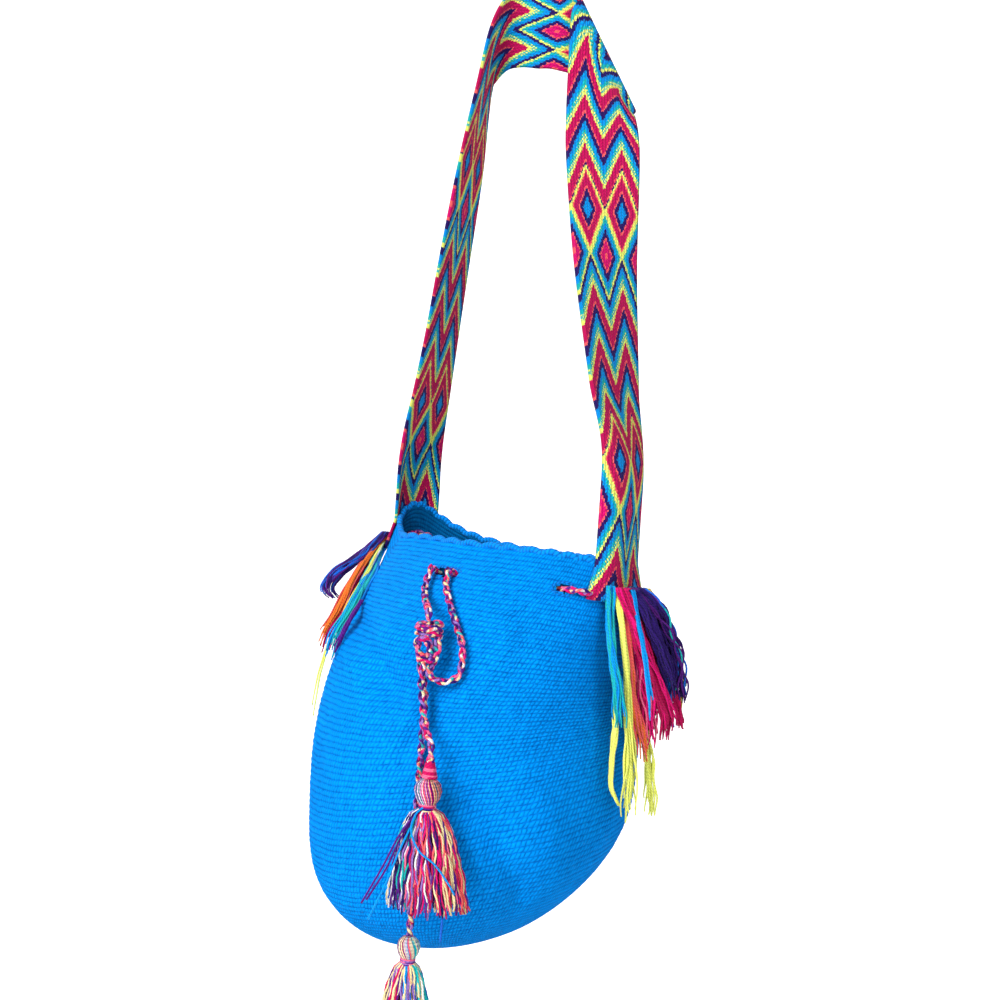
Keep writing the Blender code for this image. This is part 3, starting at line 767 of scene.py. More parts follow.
def edging_material(name):
    """Yarn that lies in loops along its length."""
    n = Nodes(name)
    u, v = n.uv()
    loops = abs(((v + u * 0.004) * (math.pi / EDGING_LOOP)).sine())
    fuzz = n.noise(1000.0)
    # Painted shade: the yarn darkens between its loops; the fuzz adds random tone.
    tone = 0.45 + loops * 0.45 + fuzz * 0.3
    return n.finish(n.times(n.mesh_colour(), tone), n.bump(loops + fuzz, 0.8 * MM), 0.95, 0.03)


# Meshes.


def add_piece(name, verts, faces, look, body, uvs, colours=None):
    """An object from points and faces, with a uv for each face's corner and a colour for each point."""
    mesh = bpy.data.meshes.new(name)
    mesh.from_pydata(verts, [], faces)
    layer = mesh.uv_layers.new(name="weave")
    layer.data.foreach_set("uv", [c for pair in uvs for c in pair])
    if colours:
        layer = mesh.color_attributes.new("yarn", "FLOAT_COLOR", "POINT")
        layer.data.foreach_set("color", [c for colour in colours for c in (*colour, 1.0)])
    mesh.shade_smooth()
    mesh.materials.append(look)
    made = bpy.data.objects.new(name, mesh)
    bpy.context.scene.collection.objects.link(made)
    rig.ride(made, body)
    return made


def stand_for(piece, node):
    """Shows this piece in place of the CAD's node, in the node's own slot."""
    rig.replaces(piece, node)
    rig.slot(piece, node)
    return piece


def first_normal(ahead):
    """A direction square to the strand's first step, near to level where that is possible."""
    up = Vector((0.13, 0.31, 0.94))
    return ahead.orthogonal().normalized() if abs(ahead.dot(up)) > 0.99 else up.cross(ahead).normalized()


class Strands:
    """Gathers round strands into one mesh."""

    def __init__(self):
        self.verts, self.faces, self.uvs, self.colours = [], [], [], []

    def tube(self, path, radius, colour, sides=6, shape=None, paint=None):
        """A closed tube along the path. shape and paint give its scale and its colour at a
        distance along it and a share of the way round it."""
        base = len(self.verts)
        count = len(path)
        distances = distances_along(path)
        normal = None
        for k in range(count):
            ahead = path[min(k + 1, count - 1)] - path[max(k - 1, 0)]
            ahead.normalize()
            if normal is None:
                normal = first_normal(ahead)
            else:
                normal = (normal - ahead * normal.dot(ahead)).normalized()
            across = ahead.cross(normal)
            r = radius(k / (count - 1)) if callable(radius) else radius
            for i in range(sides):
                turn = math.tau * i / sides
                size = r * (shape(distances[k], i / sides) if shape else 1)
                self.verts.append(path[k] + (normal * math.cos(turn) + across * math.sin(turn)) * size)
                self.colours.append(paint(distances[k], i / sides) if paint else colour)
        for k in range(count - 1):
            low, high = distances[k], distances[k + 1]
            for i in range(sides):
                j = (i + 1) % sides
                a, b = base + k * sides, base + (k + 1) * sides
                self.faces.append((a + i, a + j, b + j, b + i))
                left, right = i / sides, (i + 1) / sides
                self.uvs += [(left, low), (right, low), (right, high), (left, high)]
        for start, order in ((base, range(sides - 1, -1, -1)), (base + (count - 1) * sides, range(sides))):
            self.faces.append(tuple(start + i for i in order))
            self.uvs += [(0.5, 0.0)] * sides

    def piece(self, name, look, body):
        return add_piece(name, self.verts, self.faces, look, body, self.uvs, self.colours)


def grid(rows, u_of, v_of, closed, keep=None, flip=False):
    """Points, faces and uvs of a sheet of quads through rows of points."""
    width = len(rows[0])
    verts = [point for row in rows for point in row]
    faces, uvs = [], []
    spans = width if closed else width - 1
    for k in range(len(rows) - 1):
        for i in range(spans):
            if keep and not keep(k, i):
                continue
            j = (i + 1) % width
            face = [(k, i), (k + 1, i), (k + 1, j), (k, j)]
            left, right, top, low = u_of(i), u_of(i + 1), v_of(k), v_of(k + 1)
            places = [(left, top), (left, low), (right, low), (right, top)]
            if flip:
                face.reverse()
                places.reverse()
            faces.append(tuple(a * width + b for a, b in face))
            uvs += places
    return verts, faces, uvs


# The drawstring, which comes before the rest because it is a free cord.

# The knot, in millimetres from its middle: its turns, and then its bight.
KNOT_TURNS = (-60, 720)  # degrees
KNOT_LEVELS = (9.5, 1.5)
KNOT_WIDTH, KNOT_DEPTH = 7.2, 5.6
KNOT_BIGHT = (
    (6, -5, -2),
    (7, -4, -9),
    (3, -5, -15),
    (-4, -5, -13),
    (-7, -3, -5),
    (-4, -6, 0),
    (1, -7, -4),
    (2, -4, -12),
    (-2, 0, -17),
)
ROUTE_STEP = 0.65 * MM
TASSEL_HIDES = 28 * MM  # of each end, which runs on inside the tassel's head
BRAID_PITCH = 18 * MM  # of a whole turn of a strand
BRAID_CORE = 1.35 * MM
BRAID_RISE = 0.32 * MM
BRAID_STRAND = 1.08 * MM
BRAID_PATCH = 11 * MM  # of one colour
BRAID_PLY = 7 * MM
BRAID_COLOURS = (
    (CRIMSON, PURPLE, MAGENTA, NAVY, PINK),
    (CREAM, CORAL, PURPLE, WHITE, TURQUOISE),
    (NAVY, MAGENTA, LAVENDER, PURPLE, NAVY),
    (CREAM, PURPLE, CRIMSON, PINK, LAVENDER),
)


def carried_frames(route):
    """Each point of the route with two directions square to it, carried along without twist."""
    frames, normal = [], None
    for k, point in enumerate(route):
        ahead = (route[min(k + 1, len(route) - 1)] - route[max(k - 1, 0)]).normalized()
        if normal is None:
            normal = ahead.orthogonal().normalized()
        else:
            normal = (normal - ahead * normal.dot(ahead)).normalized()
        frames.append((point, normal, ahead.cross(normal)))
    return frames


def braid(strands, route, seed, size=1.0):
    """Four strands that cross over and under one another round the route."""
    frames = carried_frames(route)
    along = distances_along(route)
    pitch = BRAID_PITCH * size
    for which, palette in enumerate(BRAID_COLOURS):
        way = 1 if which % 2 == 0 else -1
        path = []
        for (point, normal, across), gone in zip(frames, along):
            turn = way * math.tau * gone / pitch + which * math.pi / 2
            reach = (BRAID_CORE + way * BRAID_RISE * math.sin(2 * math.tau * gone / pitch)) * size
            path.append(point + normal * (math.cos(turn) * reach) + across * (math.sin(turn) * reach))

        def paint(distance, share, palette=palette, which=which):
            place = int(distance / BRAID_PATCH + seed + which * 0.4)
            ply = math.floor(2 * (share + distance / BRAID_PLY)) % 2
            return palette[(place + ply * 2) % len(palette)]

        strands.tube(path, BRAID_STRAND * size, None, 8, None, paint)


def cord_points(points):
    """The cord's own centreline: straight at both ends, and smooth between them."""
    return [points[0], *smooth_route(points[1:-1], 4.8 * CORD_RADIUS), points[-1]]


def rim_route():
    """In through the slit, in and out of the eyelets round the rim, and out through the slit."""
    outside = CORD_RADIUS + SEAT_GAP + ROW_RIDGE_CAD + 0.7 * MM
    inside = -WALL - outside

    def out_at(angle):
        share = 0.0
        for k, eyelet in enumerate(EYELETS):
            gap = body_point(angle, EYELET_DROP) - body_point(eyelet, EYELET_DROP)
            away = math.copysign(gap.length, angle - eyelet)
            passed = ease(away / (EYELET_LENGTH - 3 * MM) + 0.5)
            share += passed if k % 2 == 0 else -passed
        return mix(inside, outside, share)

    outward = [SWING_STANDOFF - SWING_GAP, 0, -WALL, -2.15 * WALL]
    first = [off_wall(SLIT_EXITS[1] + 0.3 * k, EYELET_DROP, out) for k, out in enumerate(outward)]
    last = [off_wall(SLIT_EXITS[0] - 0.3 * k, EYELET_DROP, out) for k, out in enumerate(outward)]
    start = SLIT_EXITS[1] + 4.5
    turn = 360 + SLIT_EXITS[0] - 4.5 - start
    angles = [start + turn * k / 72 for k in range(73)]
    return [*first, *(off_wall(angle, EYELET_DROP, out_at(angle)) for angle in angles), *reversed(last)]


def strand_routes(top, bottom):
    """The two strands from the slit to the knot. The right one comes up to it in a loop."""
    left_exit, right_exit = (off_wall(angle, EYELET_DROP, SWING_STANDOFF) for angle in SLIT_EXITS)
    lie = CORD_RADIUS + 2.2 * MM
    left = [
        left_exit,
        front_point(left_exit.x - 0.5 * MM, EYELET_DROP + 10 * MM, lie + 0.5 * MM),
        front_point(left_exit.x, EYELET_DROP + 21 * MM, lie + 2 * MM),
        top - down_by(6 * MM),
        top,
    ]
    loop_radius = 9.5 * MM
    entry = bottom + Vector((5.2 * MM, 0, 0))
    loop = [entry, entry + down_by(4 * MM)]
    for k in range(1, 7):
        bend = math.pi * k / 6
        drop = KNOT_DROP + KNOT_HEIGHT / 2 + 4 * MM + loop_radius * math.sin(bend)
        x = entry.x + loop_radius * (1 - math.cos(bend))
        loop.append(front_point(x, drop, mix(KNOT_RADIUS + 1.5 * MM, lie, k / 6)))
    right = [
        right_exit,
        front_point(right_exit.x + 1 * MM, EYELET_DROP + 10 * MM, lie + 0.5 * MM),
        front_point(right_exit.x + 5 * MM, EYELET_DROP + 24 * MM, lie),
        front_point(loop[-1].x + 0.5 * MM, KNOT_DROP, lie),
        *reversed(loop),
    ]
    return left, right


def end_routes(bottom):
    """The two ends from the knot down to the tassels. The upper one lies over the lower one."""
    over = 2 * (CORD_RADIUS + SEAT_GAP)
    upper = [bottom + Vector((-2.2 * MM, -3.4 * MM, 0))]
    upper.append(upper[0] + down_by(8 * MM))
    for drop, x in ((100 * MM, -45 * MM), (122 * MM, -42 * MM)):
        upper.append(front_point(x, drop, CORD_RADIUS + 2 * MM + over))
    end = front_point(UPPER_END_X, BELLY_DROP, CORD_RADIUS + 3 * MM + over)
    end.z = UPPER_END_Z
    end.y -= 5 * MM
    upper += [end - down_by(9 * MM), end]
    lower = [bottom + Vector((-5 * MM, 2.8 * MM, 0))]
    lower.append(lower[0] + down_by(7 * MM))
    for drop in (100 * MM, 122 * MM, 145 * MM, 160 * MM, 175 * MM):
        lower.append(front_point(LOWER_END_X, drop, CORD_RADIUS + SEAT_GAP + ROW_RIDGE_CAD + 0.25 * MM))
    hang_y = lower[-1].y
    for z in (-545 * MM, -570 * MM, -595 * MM, LOWER_END_Z + 9 * MM, LOWER_END_Z):
        lower.append(Vector((LOWER_END_X, hang_y, z)))
    return upper, lower


def knot_route(knot):
    """Two turns and more of the cord round its own bight, with the bight drawn up below them."""
    turns = []
    for k in range(61):
        turn = math.radians(mix(*KNOT_TURNS, k / 60))
        across, deep = math.cos(turn) * KNOT_WIDTH, math.sin(turn) * KNOT_DEPTH
        turns.append(knot + Vector((across, deep, mix(*KNOT_LEVELS, k / 60))) * MM)
    return turns + [knot + Vector(spot) * MM for spot in KNOT_BIGHT]


def braided_piece(name, node, body, look, route, seed, size=1.0):
    strands = Strands()
    braid(strands, route, seed, size)
    return stand_for(strands.piece(name, look, body), node)


def build_drawstring():
    """The knot, each hanging cord with its route, and where the two tassels begin."""
    look = yarn_material("braided_cord_yarn", 1.3)
    rim = smooth_route(rim_route(), 0.8 * MM)
    braided_piece("threaded_drawstring", "drawstring_rim", "bag", look, rim, 0)
    knot = front_point(KNOT_X, KNOT_DROP, KNOT_RADIUS + 1.5 * MM)
    half = KNOT_HEIGHT / 2 + SEAT_GAP
    bottom = knot + down_by(half)
    left, right = strand_routes(knot + Vector((-1 * MM, 0, half)), bottom)
    upper, lower = end_routes(bottom)
    tied = smooth_route(knot_route(knot), ROUTE_STEP)
    name = "drawstring_overhand_knot"
    knot_piece = braided_piece(name, "drawstring_knot", "drawstring_ends", look, tied, 2, 1.1)
    for points in (upper, lower):
        points.append(points[-1] + down_by(TASSEL_HIDES))
    cords = []
    names = ("left_strand", "right_strand", "upper_end", "lower_end")
    for name, points, seed in zip(names, (left, right, upper, lower), (0, 3, 5, 1)):
        route = smooth_route(cord_points(points), ROUTE_STEP)
        node = f"drawstring_{name}"
        cords.append((braided_piece(f"{node}_braid", node, "drawstring_ends", look, route, seed), route))
    return knot_piece, cords, upper[-2], lower[-2]


# The tassels.

# Each yarn's place in the tassel's head: level and distance out, both in shares of its size.
HEAD_OUTLINE = ((0.02, 0.12), (0.12, 0.55), (0.4, 0.86), (0.9, 0.98), (1.4, 0.84), (1.8, 0.56))

# Yarns that leave the upper tassel's skirt, from the top of its head in millimetres.
TASSEL_STRAYS = (
    (SKY, ((-2, -4.5, -18), (-7, -7, -23), (-9, -9.5, -33), (-3, -12.5, -45),
           (8, -14, -53), (17, -13.5, -64), (22, -12, -72))),
    (PURPLE, ((-4, -3, -20), (-16, -7, -36), (-26, -9, -58), (-38, -10, -82))),
    (SKY, ((-4, -3, -20), (-14, -8, -42), (-23, -10, -68), (-33, -11, -92))),
    (PURPLE, ((-4, -3, -20), (-15, -6, -38), (-24, -8, -60), (-35, -9, -80))),
    (BLUE, ((3, -2, -20), (12, -6, -50), (15, -8, -80), (15, -9, -104))),
)
# The tassels' colours, from their left side to their right: how far each group reaches, its
# darkest shade and its colours.
UPPER_COLOURS = (
    (-0.5, 0.8, (PURPLE, NAVY, LAVENDER, TURQUOISE, CREAM, PINK, BLUE, PURPLE)),
    (0.1, 0.8, (PURPLE, CRIMSON, MAGENTA, LAVENDER, CORAL, CRIMSON)),
    (0.5, 0.7, (CRIMSON, CORAL, PURPLE, CREAM, NAVY, MAGENTA)),
    (2, 0.7, (CREAM, CORAL, CREAM, CRIMSON, PINK, PURPLE)),
)
LOWER_COLOURS = (
    (-0.3, 0.8, (CRIMSON, PINK, LAVENDER, PURPLE, CREAM)),
    (0.4, 0.8, (NAVY, CREAM, LAVENDER, CORAL, SKY)),
    (2, 0.8, (BLUE, LAVENDER, TURQUOISE, WHITE, CREAM)),
)


def build_tassel(name, end, rng, palette, count, head, length, half_width, half_depth, lean=0.0, strays=()):
    """Yarns folded over at the top of the head, bound at the neck, and loose below it."""
    strands = Strands()
    neck = 2.1 * head
    for k in range(count):
        turn = math.tau * (k + rng.uniform(-0.35, 0.35)) / count * 3.0  # three rounds of yarns
        depth = 1.0 if k % 3 else rng.uniform(0.3, 0.85)
        side, front = math.cos(turn), math.sin(turn)
        colour = palette(side, rng)
        long = length * rng.uniform(0.93, 1.03) * (1 - 0.05 * abs(side))
        phase = [rng.uniform(0, 6.3) for _ in range(3)]
        stray = rng.uniform(-1, 1)
        path = []
        for level, share in HEAD_OUTLINE:
            r = share * head * mix(0.4, 0.95, depth)
            path.append(end + round_by(turn + 0.35 * (level - 1), r) + down_by(level * head))
        for i in range(17):
            share = i / 16
            spread = share**0.42
            wide = mix(0.42 * head, half_width * 0.97, spread) * mix(0.35, 1.0, depth)
            deep = mix(0.42 * head, half_depth * 0.95, spread) * mix(0.35, 1.0, depth)
            wave = 1.1 * MM * ease(share * 3) * math.sin(9 * share + phase[0])
            wave += 0.5 * MM * math.sin(26 * share + phase[1])
            x = side * wide + wave + stray * 1.6 * MM * share
            y = front * deep - 3 * MM * ease(share) + 0.6 * MM * math.sin(14 * share + phase[2])
            path.append(end + Vector((x + lean * share, y, -neck - (long - neck) * share)))
        strands.tube(path, lambda share: TASSEL_YARN * (1 - 0.2 * ease(share * 6 - 5)), colour, 5)
    for colour, spots in strays:
        path = smooth_route([end + Vector(spot) * MM for spot in spots], 2 * MM)
        strands.tube(path, STRAY_YARN, colour, 6)
    yarns = strands.piece(f"{name}_loose_yarns", yarn_material(f"{name}_yarn"), "drawstring_ends")
    return stand_for(yarns, f"{name}_yarns")


def build_binding(name, middle, radius, height, colours):
    """Turns of yarn round a neck."""
    strands = Strands()
    path = []
    steps = BINDING_TURNS * 22
    for k in range(steps + 1):
        path.append(middle + round_by(math.tau * k / 22, radius) + down_by(height * (k / steps - 0.5)))

    def paint(distance, _):
        return colours[int(distance / (16 * MM)) % len(colours)]

    strands.tube(path, BINDING_YARN, None, 7, None, paint)
    binding = strands.piece(f"{name}_whipping", yarn_material(f"{name}_whipping_yarn"), "drawstring_ends")
    return stand_for(binding, f"{name}_binding")


def build_cap(end):
    """Turns of yarn over the cord's end, round a core that widens downwards."""
    cap = Strands()
    path = []
    for k in range(CAP_TURNS * 20 + 1):
        share = k / (CAP_TURNS * 20)
        radius = mix(2.3 * MM, 4.6 * MM, share)
        path.append(end + round_by(math.tau * k / 20, radius) + down_by(SEAT_GAP + 1 * MM + 9.6 * MM * share))

    def paint(distance, _):
        return (CRIMSON, CRIMSON, PINK)[int(distance / (31 * MM)) % 3]

    cap.tube(path, CAP_YARN, None, 7, None, paint)
    core = [end + down_by(SEAT_GAP + 10.6 * MM * k / 6) for k in range(7)]
    cap.tube(core, lambda share: mix(2.0 * MM, 4.2 * MM, share), CRIMSON, 14)
    piece = cap.piece("upper_tassel_whipped_cap", yarn_material("cap_yarn"), "drawstring_ends")
    return stand_for(piece, "upper_tassel_cap")


def shade_at(side, groups, rng):
    darkest, colours = next(group[1:] for group in groups if side < group[0])
    colour = rng.choice(colours)
    tone = rng.uniform(darkest, 1.2)
    return tuple(min(c * tone, 1.0) for c in colour)


def upper_palette(side, rng):
    return WHITE if rng.random() < 0.1 else shade_at(side, UPPER_COLOURS, rng)


def lower_palette(side, rng):
    return shade_at(side, LOWER_COLOURS, rng)


def build_tassels(upper_end, lower_end):
    """The pieces of each tassel, which hang on the drawstring's two ends."""
    rng = random.Random(11)
    upper = [build_cap(upper_end)]
    top = upper_end + down_by(2 * SEAT_GAP + 11 * MM)
    upper.append(
        build_tassel(
            "upper_tassel",
            top,
            rng,
            upper_palette,
            250,
            head=9.2 * MM,
            length=88 * MM,
            half_width=26 * MM,
            half_depth=10.5 * MM,
            lean=5 * MM,
            strays=TASSEL_STRAYS,
        )
    )
    neck = top + down_by(2.15 * 8.8 * MM)
    colours = (PURPLE, PINK, NAVY, CRIMSON, CREAM)
    upper.append(build_binding("upper_tassel", neck, 5.3 * MM, 4.4 * MM, colours))
    top = lower_end + down_by(SEAT_GAP)
    yarns = build_tassel(
        "lower_tassel",
        top,
        rng,
        lower_palette,
        150,
        head=7.8 * MM,
        length=89 * MM,
        half_width=19 * MM,
        half_depth=10.5 * MM,
    )
    neck = top + down_by(2.15 * 7.5 * MM)
    lower = [yarns, build_binding("lower_tassel", neck, 4.7 * MM, 4.2 * MM, (LAVENDER, PINK, PURPLE))]
    return upper, lower


# The crocheted body.


def profile_table():
    """The body's rings, evenly spaced down its outline: the drop and the share under of each."""
    fine = [(WALL_DROP * k / 300, 0.0) for k in range(300)] + [(WALL_DROP, k / 400) for k in range(400)]
    along = distances_along([body_point(-90, drop, 0.0, under) for drop, under in fine])
    count = round(along[-1] / ROW_PITCH) * RINGS_PER_ROW
    rings = []
    for j, share in evenly(along, count):
        rings.append(tuple(mix(a, b, share) for a, b in zip(fine[j], fine[j + 1])))
    return rings


def in_slot(angle, drop):
    """Whether an eyelet or the slit is here, a little inside its hem."""
    if abs(drop - EYELET_DROP) >= EYELET_HEIGHT:
        return False
    level = 2 * (drop - EYELET_DROP) / (EYELET_HEIGHT * 0.9)
    for centre, length in SLOTS:
        if abs(turn_between(angle, centre)) < 25:
            gap = (body_point(angle, EYELET_DROP) - body_point(centre, EYELET_DROP)).length
            if (2 * gap / (length * 0.92)) ** 2 + level**2 < 1:
                return True
    return False


def build_outer_face(rings):
    rng = random.Random(5)
    columns = STITCHES * COLUMNS_PER_STITCH
    angles = [360 * i / columns for i in range(columns)]
    wobble = [rng.uniform(-1, 1) for _ in rings]
    rows = []
    for k, (drop, under) in enumerate(rings):
        row = []
        crest = STITCH_LUMP if k % RINGS_PER_ROW else -STITCH_LUMP
        for i, angle in enumerate(angles):
            stitch = 0.5 + 0.5 * math.cos(math.pi * (i + (k // RINGS_PER_ROW)))
            lump = crest * (0.55 + 0.45 * stitch) + ROW_LUMP * wobble[k]
            row.append(body_point(angle, drop, lump * (1 - under**4) + soft_at(angle, drop, under), under))
        rows.append(row)
    slotted = {}
    for k, (drop, under) in enumerate(rings):
        if under == 0 and abs(drop - EYELET_DROP) < EYELET_HEIGHT:
            slotted[k] = [in_slot(angle, drop) for angle in angles]

    def keep(k, i):
        if k not in slotted or k + 1 not in slotted:
            return True
        return not (slotted[k][i] and slotted[k][(i + 1) % columns] and slotted[k + 1][i])

    verts, faces, uvs = grid(rows, lambda i: i / COLUMNS_PER_STITCH, lambda k: k / RINGS_PER_ROW, True, keep)
    # Painted shade: the second, darker blue is drawn down between the stitches.
    look = crochet_material("blue_crochet", (0.0, 0.33, 0.98), (0.0, 0.13, 0.60))
    stand_for(add_piece("crocheted_body", verts, faces, look, "bag", uvs), "bag_body")


def build_inner_face(rings):
    """A wall's thickness inside the outer face, with fewer points."""
    columns = 168
    angles = [360 * i / columns for i in range(columns)]
    rows = []
    for drop, under in rings:
        out = -WALL * 0.95 * (1 - under**6)
        row = [body_point(angle, drop, out + soft_at(angle, drop, under), under) for angle in angles]
        for point in row:
            point.z += WALL * under
        rows.append(row)

    def keep(k, i):
        drop = (rings[k][0] + rings[k + 1][0]) / 2
        return not in_slot(angles[i] + 180 / columns, drop)

    verts, faces, uvs = grid(rows, lambda i: i * STITCHES / columns, lambda k: k * 2, True, keep, flip=True)
    # Painted shade: the inside is the same blue yarn as the outside, drawn darker because it lies in shade, with
    # darker painted shade again between its stitches.
    look = crochet_material("blue_crochet_inside_painted_shade", (0.0, 0.16, 0.45), (0.0, 0.06, 0.22))
    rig.slot(add_piece("body_inner_face", verts, faces, look, "bag", uvs), "bag_body")


def build_edging():
    """A round of shell stitches that stands up into scallops."""
    edge = Strands()
    path = []
    steps = SCALLOPS * 12
    for k in range(steps):
        rise = abs(math.sin(math.pi * SCALLOPS * k / steps))
        point = body_point(360 * k / steps, 0, -WALL * 0.45)
        point.z += EDGING_RISE * rise - 0.2 * MM
        path.append(point)
    path.append(path[0].copy())

    def shape(distance, _):
        return 0.9 + 0.16 * abs(math.sin(math.pi * distance / EDGING_LOOP))

    edge.tube(path, EDGING_RADIUS, (0.0, 0.27, 0.9), 12, shape)
    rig.slot(edge.piece("scalloped_edging", edging_material("edging_yarn"), "bag"), "bag_body")


def build_hems():
    """A round of yarn that hems each slot."""
    hem = Strands()
    for centre, length in SLOTS:
        path = []
        for k in range(37):
            turn = math.tau * k / 36
            sideways = math.copysign(max(abs(length / 2 * math.cos(turn)), 0.1 * MM), math.cos(turn))
            angle = angle_along(centre, sideways, EYELET_DROP)
            path.append(off_wall(angle, EYELET_DROP + EYELET_HEIGHT / 2 * math.sin(turn), -0.3 * MM))
        hem.tube(path, HEM_RADIUS, (0.0, 0.2, 0.7), 8)
    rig.slot(hem.piece("slot_hems", edging_material("slot_hem_yarn"), "bag"), "bag_body")


def build_body():
    rings = profile_table()
    build_outer_face(rings)
    build_inner_face(rings[::4])
    build_edging()
    build_hems()


# The strap.


STRAP_COLUMNS = 26
STRAP_STEP = 2.6 * MM


def rim_arc(end_angle):
    """Angles to both sides of a strap's end, and how far round the rim each is from it."""
    angles = [end_angle + k * 0.5 for k in range(-100, 101)]
    along = distances_along([body_point(angle, STRAP_OVERLAP / 2) for angle in angles])
    return angles, [length - along[100] for length in along]


RIM_ARCS = {end_angle: rim_arc(end_angle) for end_angle in STRAP_ENDS}


def strap_angle(end_angle, distance):
    """The angle that is this distance round the rim from the strap's end."""
    angles, along = RIM_ARCS[end_angle]
    for k in range(len(along) - 1):
        if along[k + 1] >= distance:
            return mix(angles[k], angles[k + 1], (distance - along[k]) / (along[k + 1] - along[k]))
    return angles[-1]


def strap_row_on_wall(end_angle, drop):
    """A row of the strap that lies on the wall at this drop, or straight above it if that is negative."""
    out = SEAT_GAP + STRAP_THICKNESS / 2 + ROW_RIDGE_CAD + 0.2 * MM
    row = []
    for j in range(STRAP_COLUMNS + 1):
        across = STRAP_WIDTH * (j / STRAP_COLUMNS - 0.5)
        turn = strap_angle(end_angle, across if end_angle > 90 else -across)
        point = off_wall(turn, max(drop, 0), out)
        point.z -= min(drop, 0)
        if end_angle < 90:
            point += STRAP_FLARE * (1 - j / STRAP_COLUMNS) ** 1.5
        row.append(point)
    return row


def free_strap_rows():
    """The strap's rows between its seams, each drawn to the wall as it comes near one."""
    middles, widths = [], []
    for spot, heading, rise, stretch in STRAP_ROUTE:
        heading, rise = math.radians(heading), math.radians(rise)
        width = round_by(heading, math.cos(rise)) + Vector((0, 0, math.sin(rise)))
        middles.append(Vector(spot) * MM)
        widths.append(width * (stretch * STRAP_WIDTH))
    fine = 1600
    along = distances_along([catmull(middles, k / fine) for k in range(fine + 1)])
    count = round(along[-1] / STRAP_STEP)
    rows = []
    for k, (j, part) in enumerate(evenly(along, count)):
        middle, width = catmull(middles, (j + part) / fine), catmull(widths, (j + part) / fine)
        row = [middle + width * (i / STRAP_COLUMNS - 0.5) for i in range(STRAP_COLUMNS + 1)]
        want = along[-1] * k / count
        for end_angle, gone in zip(STRAP_ENDS, (want, along[-1] - want)):
            if gone < STRAP_BLEND:
                on_wall = strap_row_on_wall(end_angle, body_point(end_angle, 0).z - middle.z)
                row = [point.lerp(wall, ease(1 - gone / STRAP_BLEND)) for point, wall in zip(row, on_wall)]
        rows.append(row)
    return rows


def seam_rows(end_angle, nearest):
    """The rows that are sewn to the wall, from the free strap's nearest row down to the strap's end."""
    gap = nearest[STRAP_COLUMNS // 2].z - body_point(end_angle, 0).z
    count = round((gap + STRAP_OVERLAP) / STRAP_STEP)
    return [strap_row_on_wall(end_angle, mix(-gap, STRAP_OVERLAP, k / count)) for k in range(1, count + 1)]


def build_strap():
    """The strap, and its length from end to end."""
    rows = free_strap_rows()
    left, right = STRAP_ENDS
    rows = seam_rows(left, rows[0])[::-1] + rows + seam_rows(right, rows[-1])
    middles = [row[STRAP_COLUMNS // 2] for row in rows]
    along = distances_along(middles)
    turn_at = min(range(len(rows)), key=lambda k: (middles[k] - STRAP_MIDDLE).length)
    verts, faces, uvs = grid(rows, lambda i: i / STRAP_COLUMNS, lambda k: along[k] - along[turn_at], False)
    strap = add_piece("woven_strap", verts, faces, strap_material("woven_zigzag"), "bag", uvs)
    thick = strap.modifiers.new("thickness", "SOLIDIFY")
    thick.thickness = STRAP_THICKNESS
    thick.offset = 0
    thick.use_even_offset = True
    return stand_for(strap, "shoulder_strap"), along[-1]


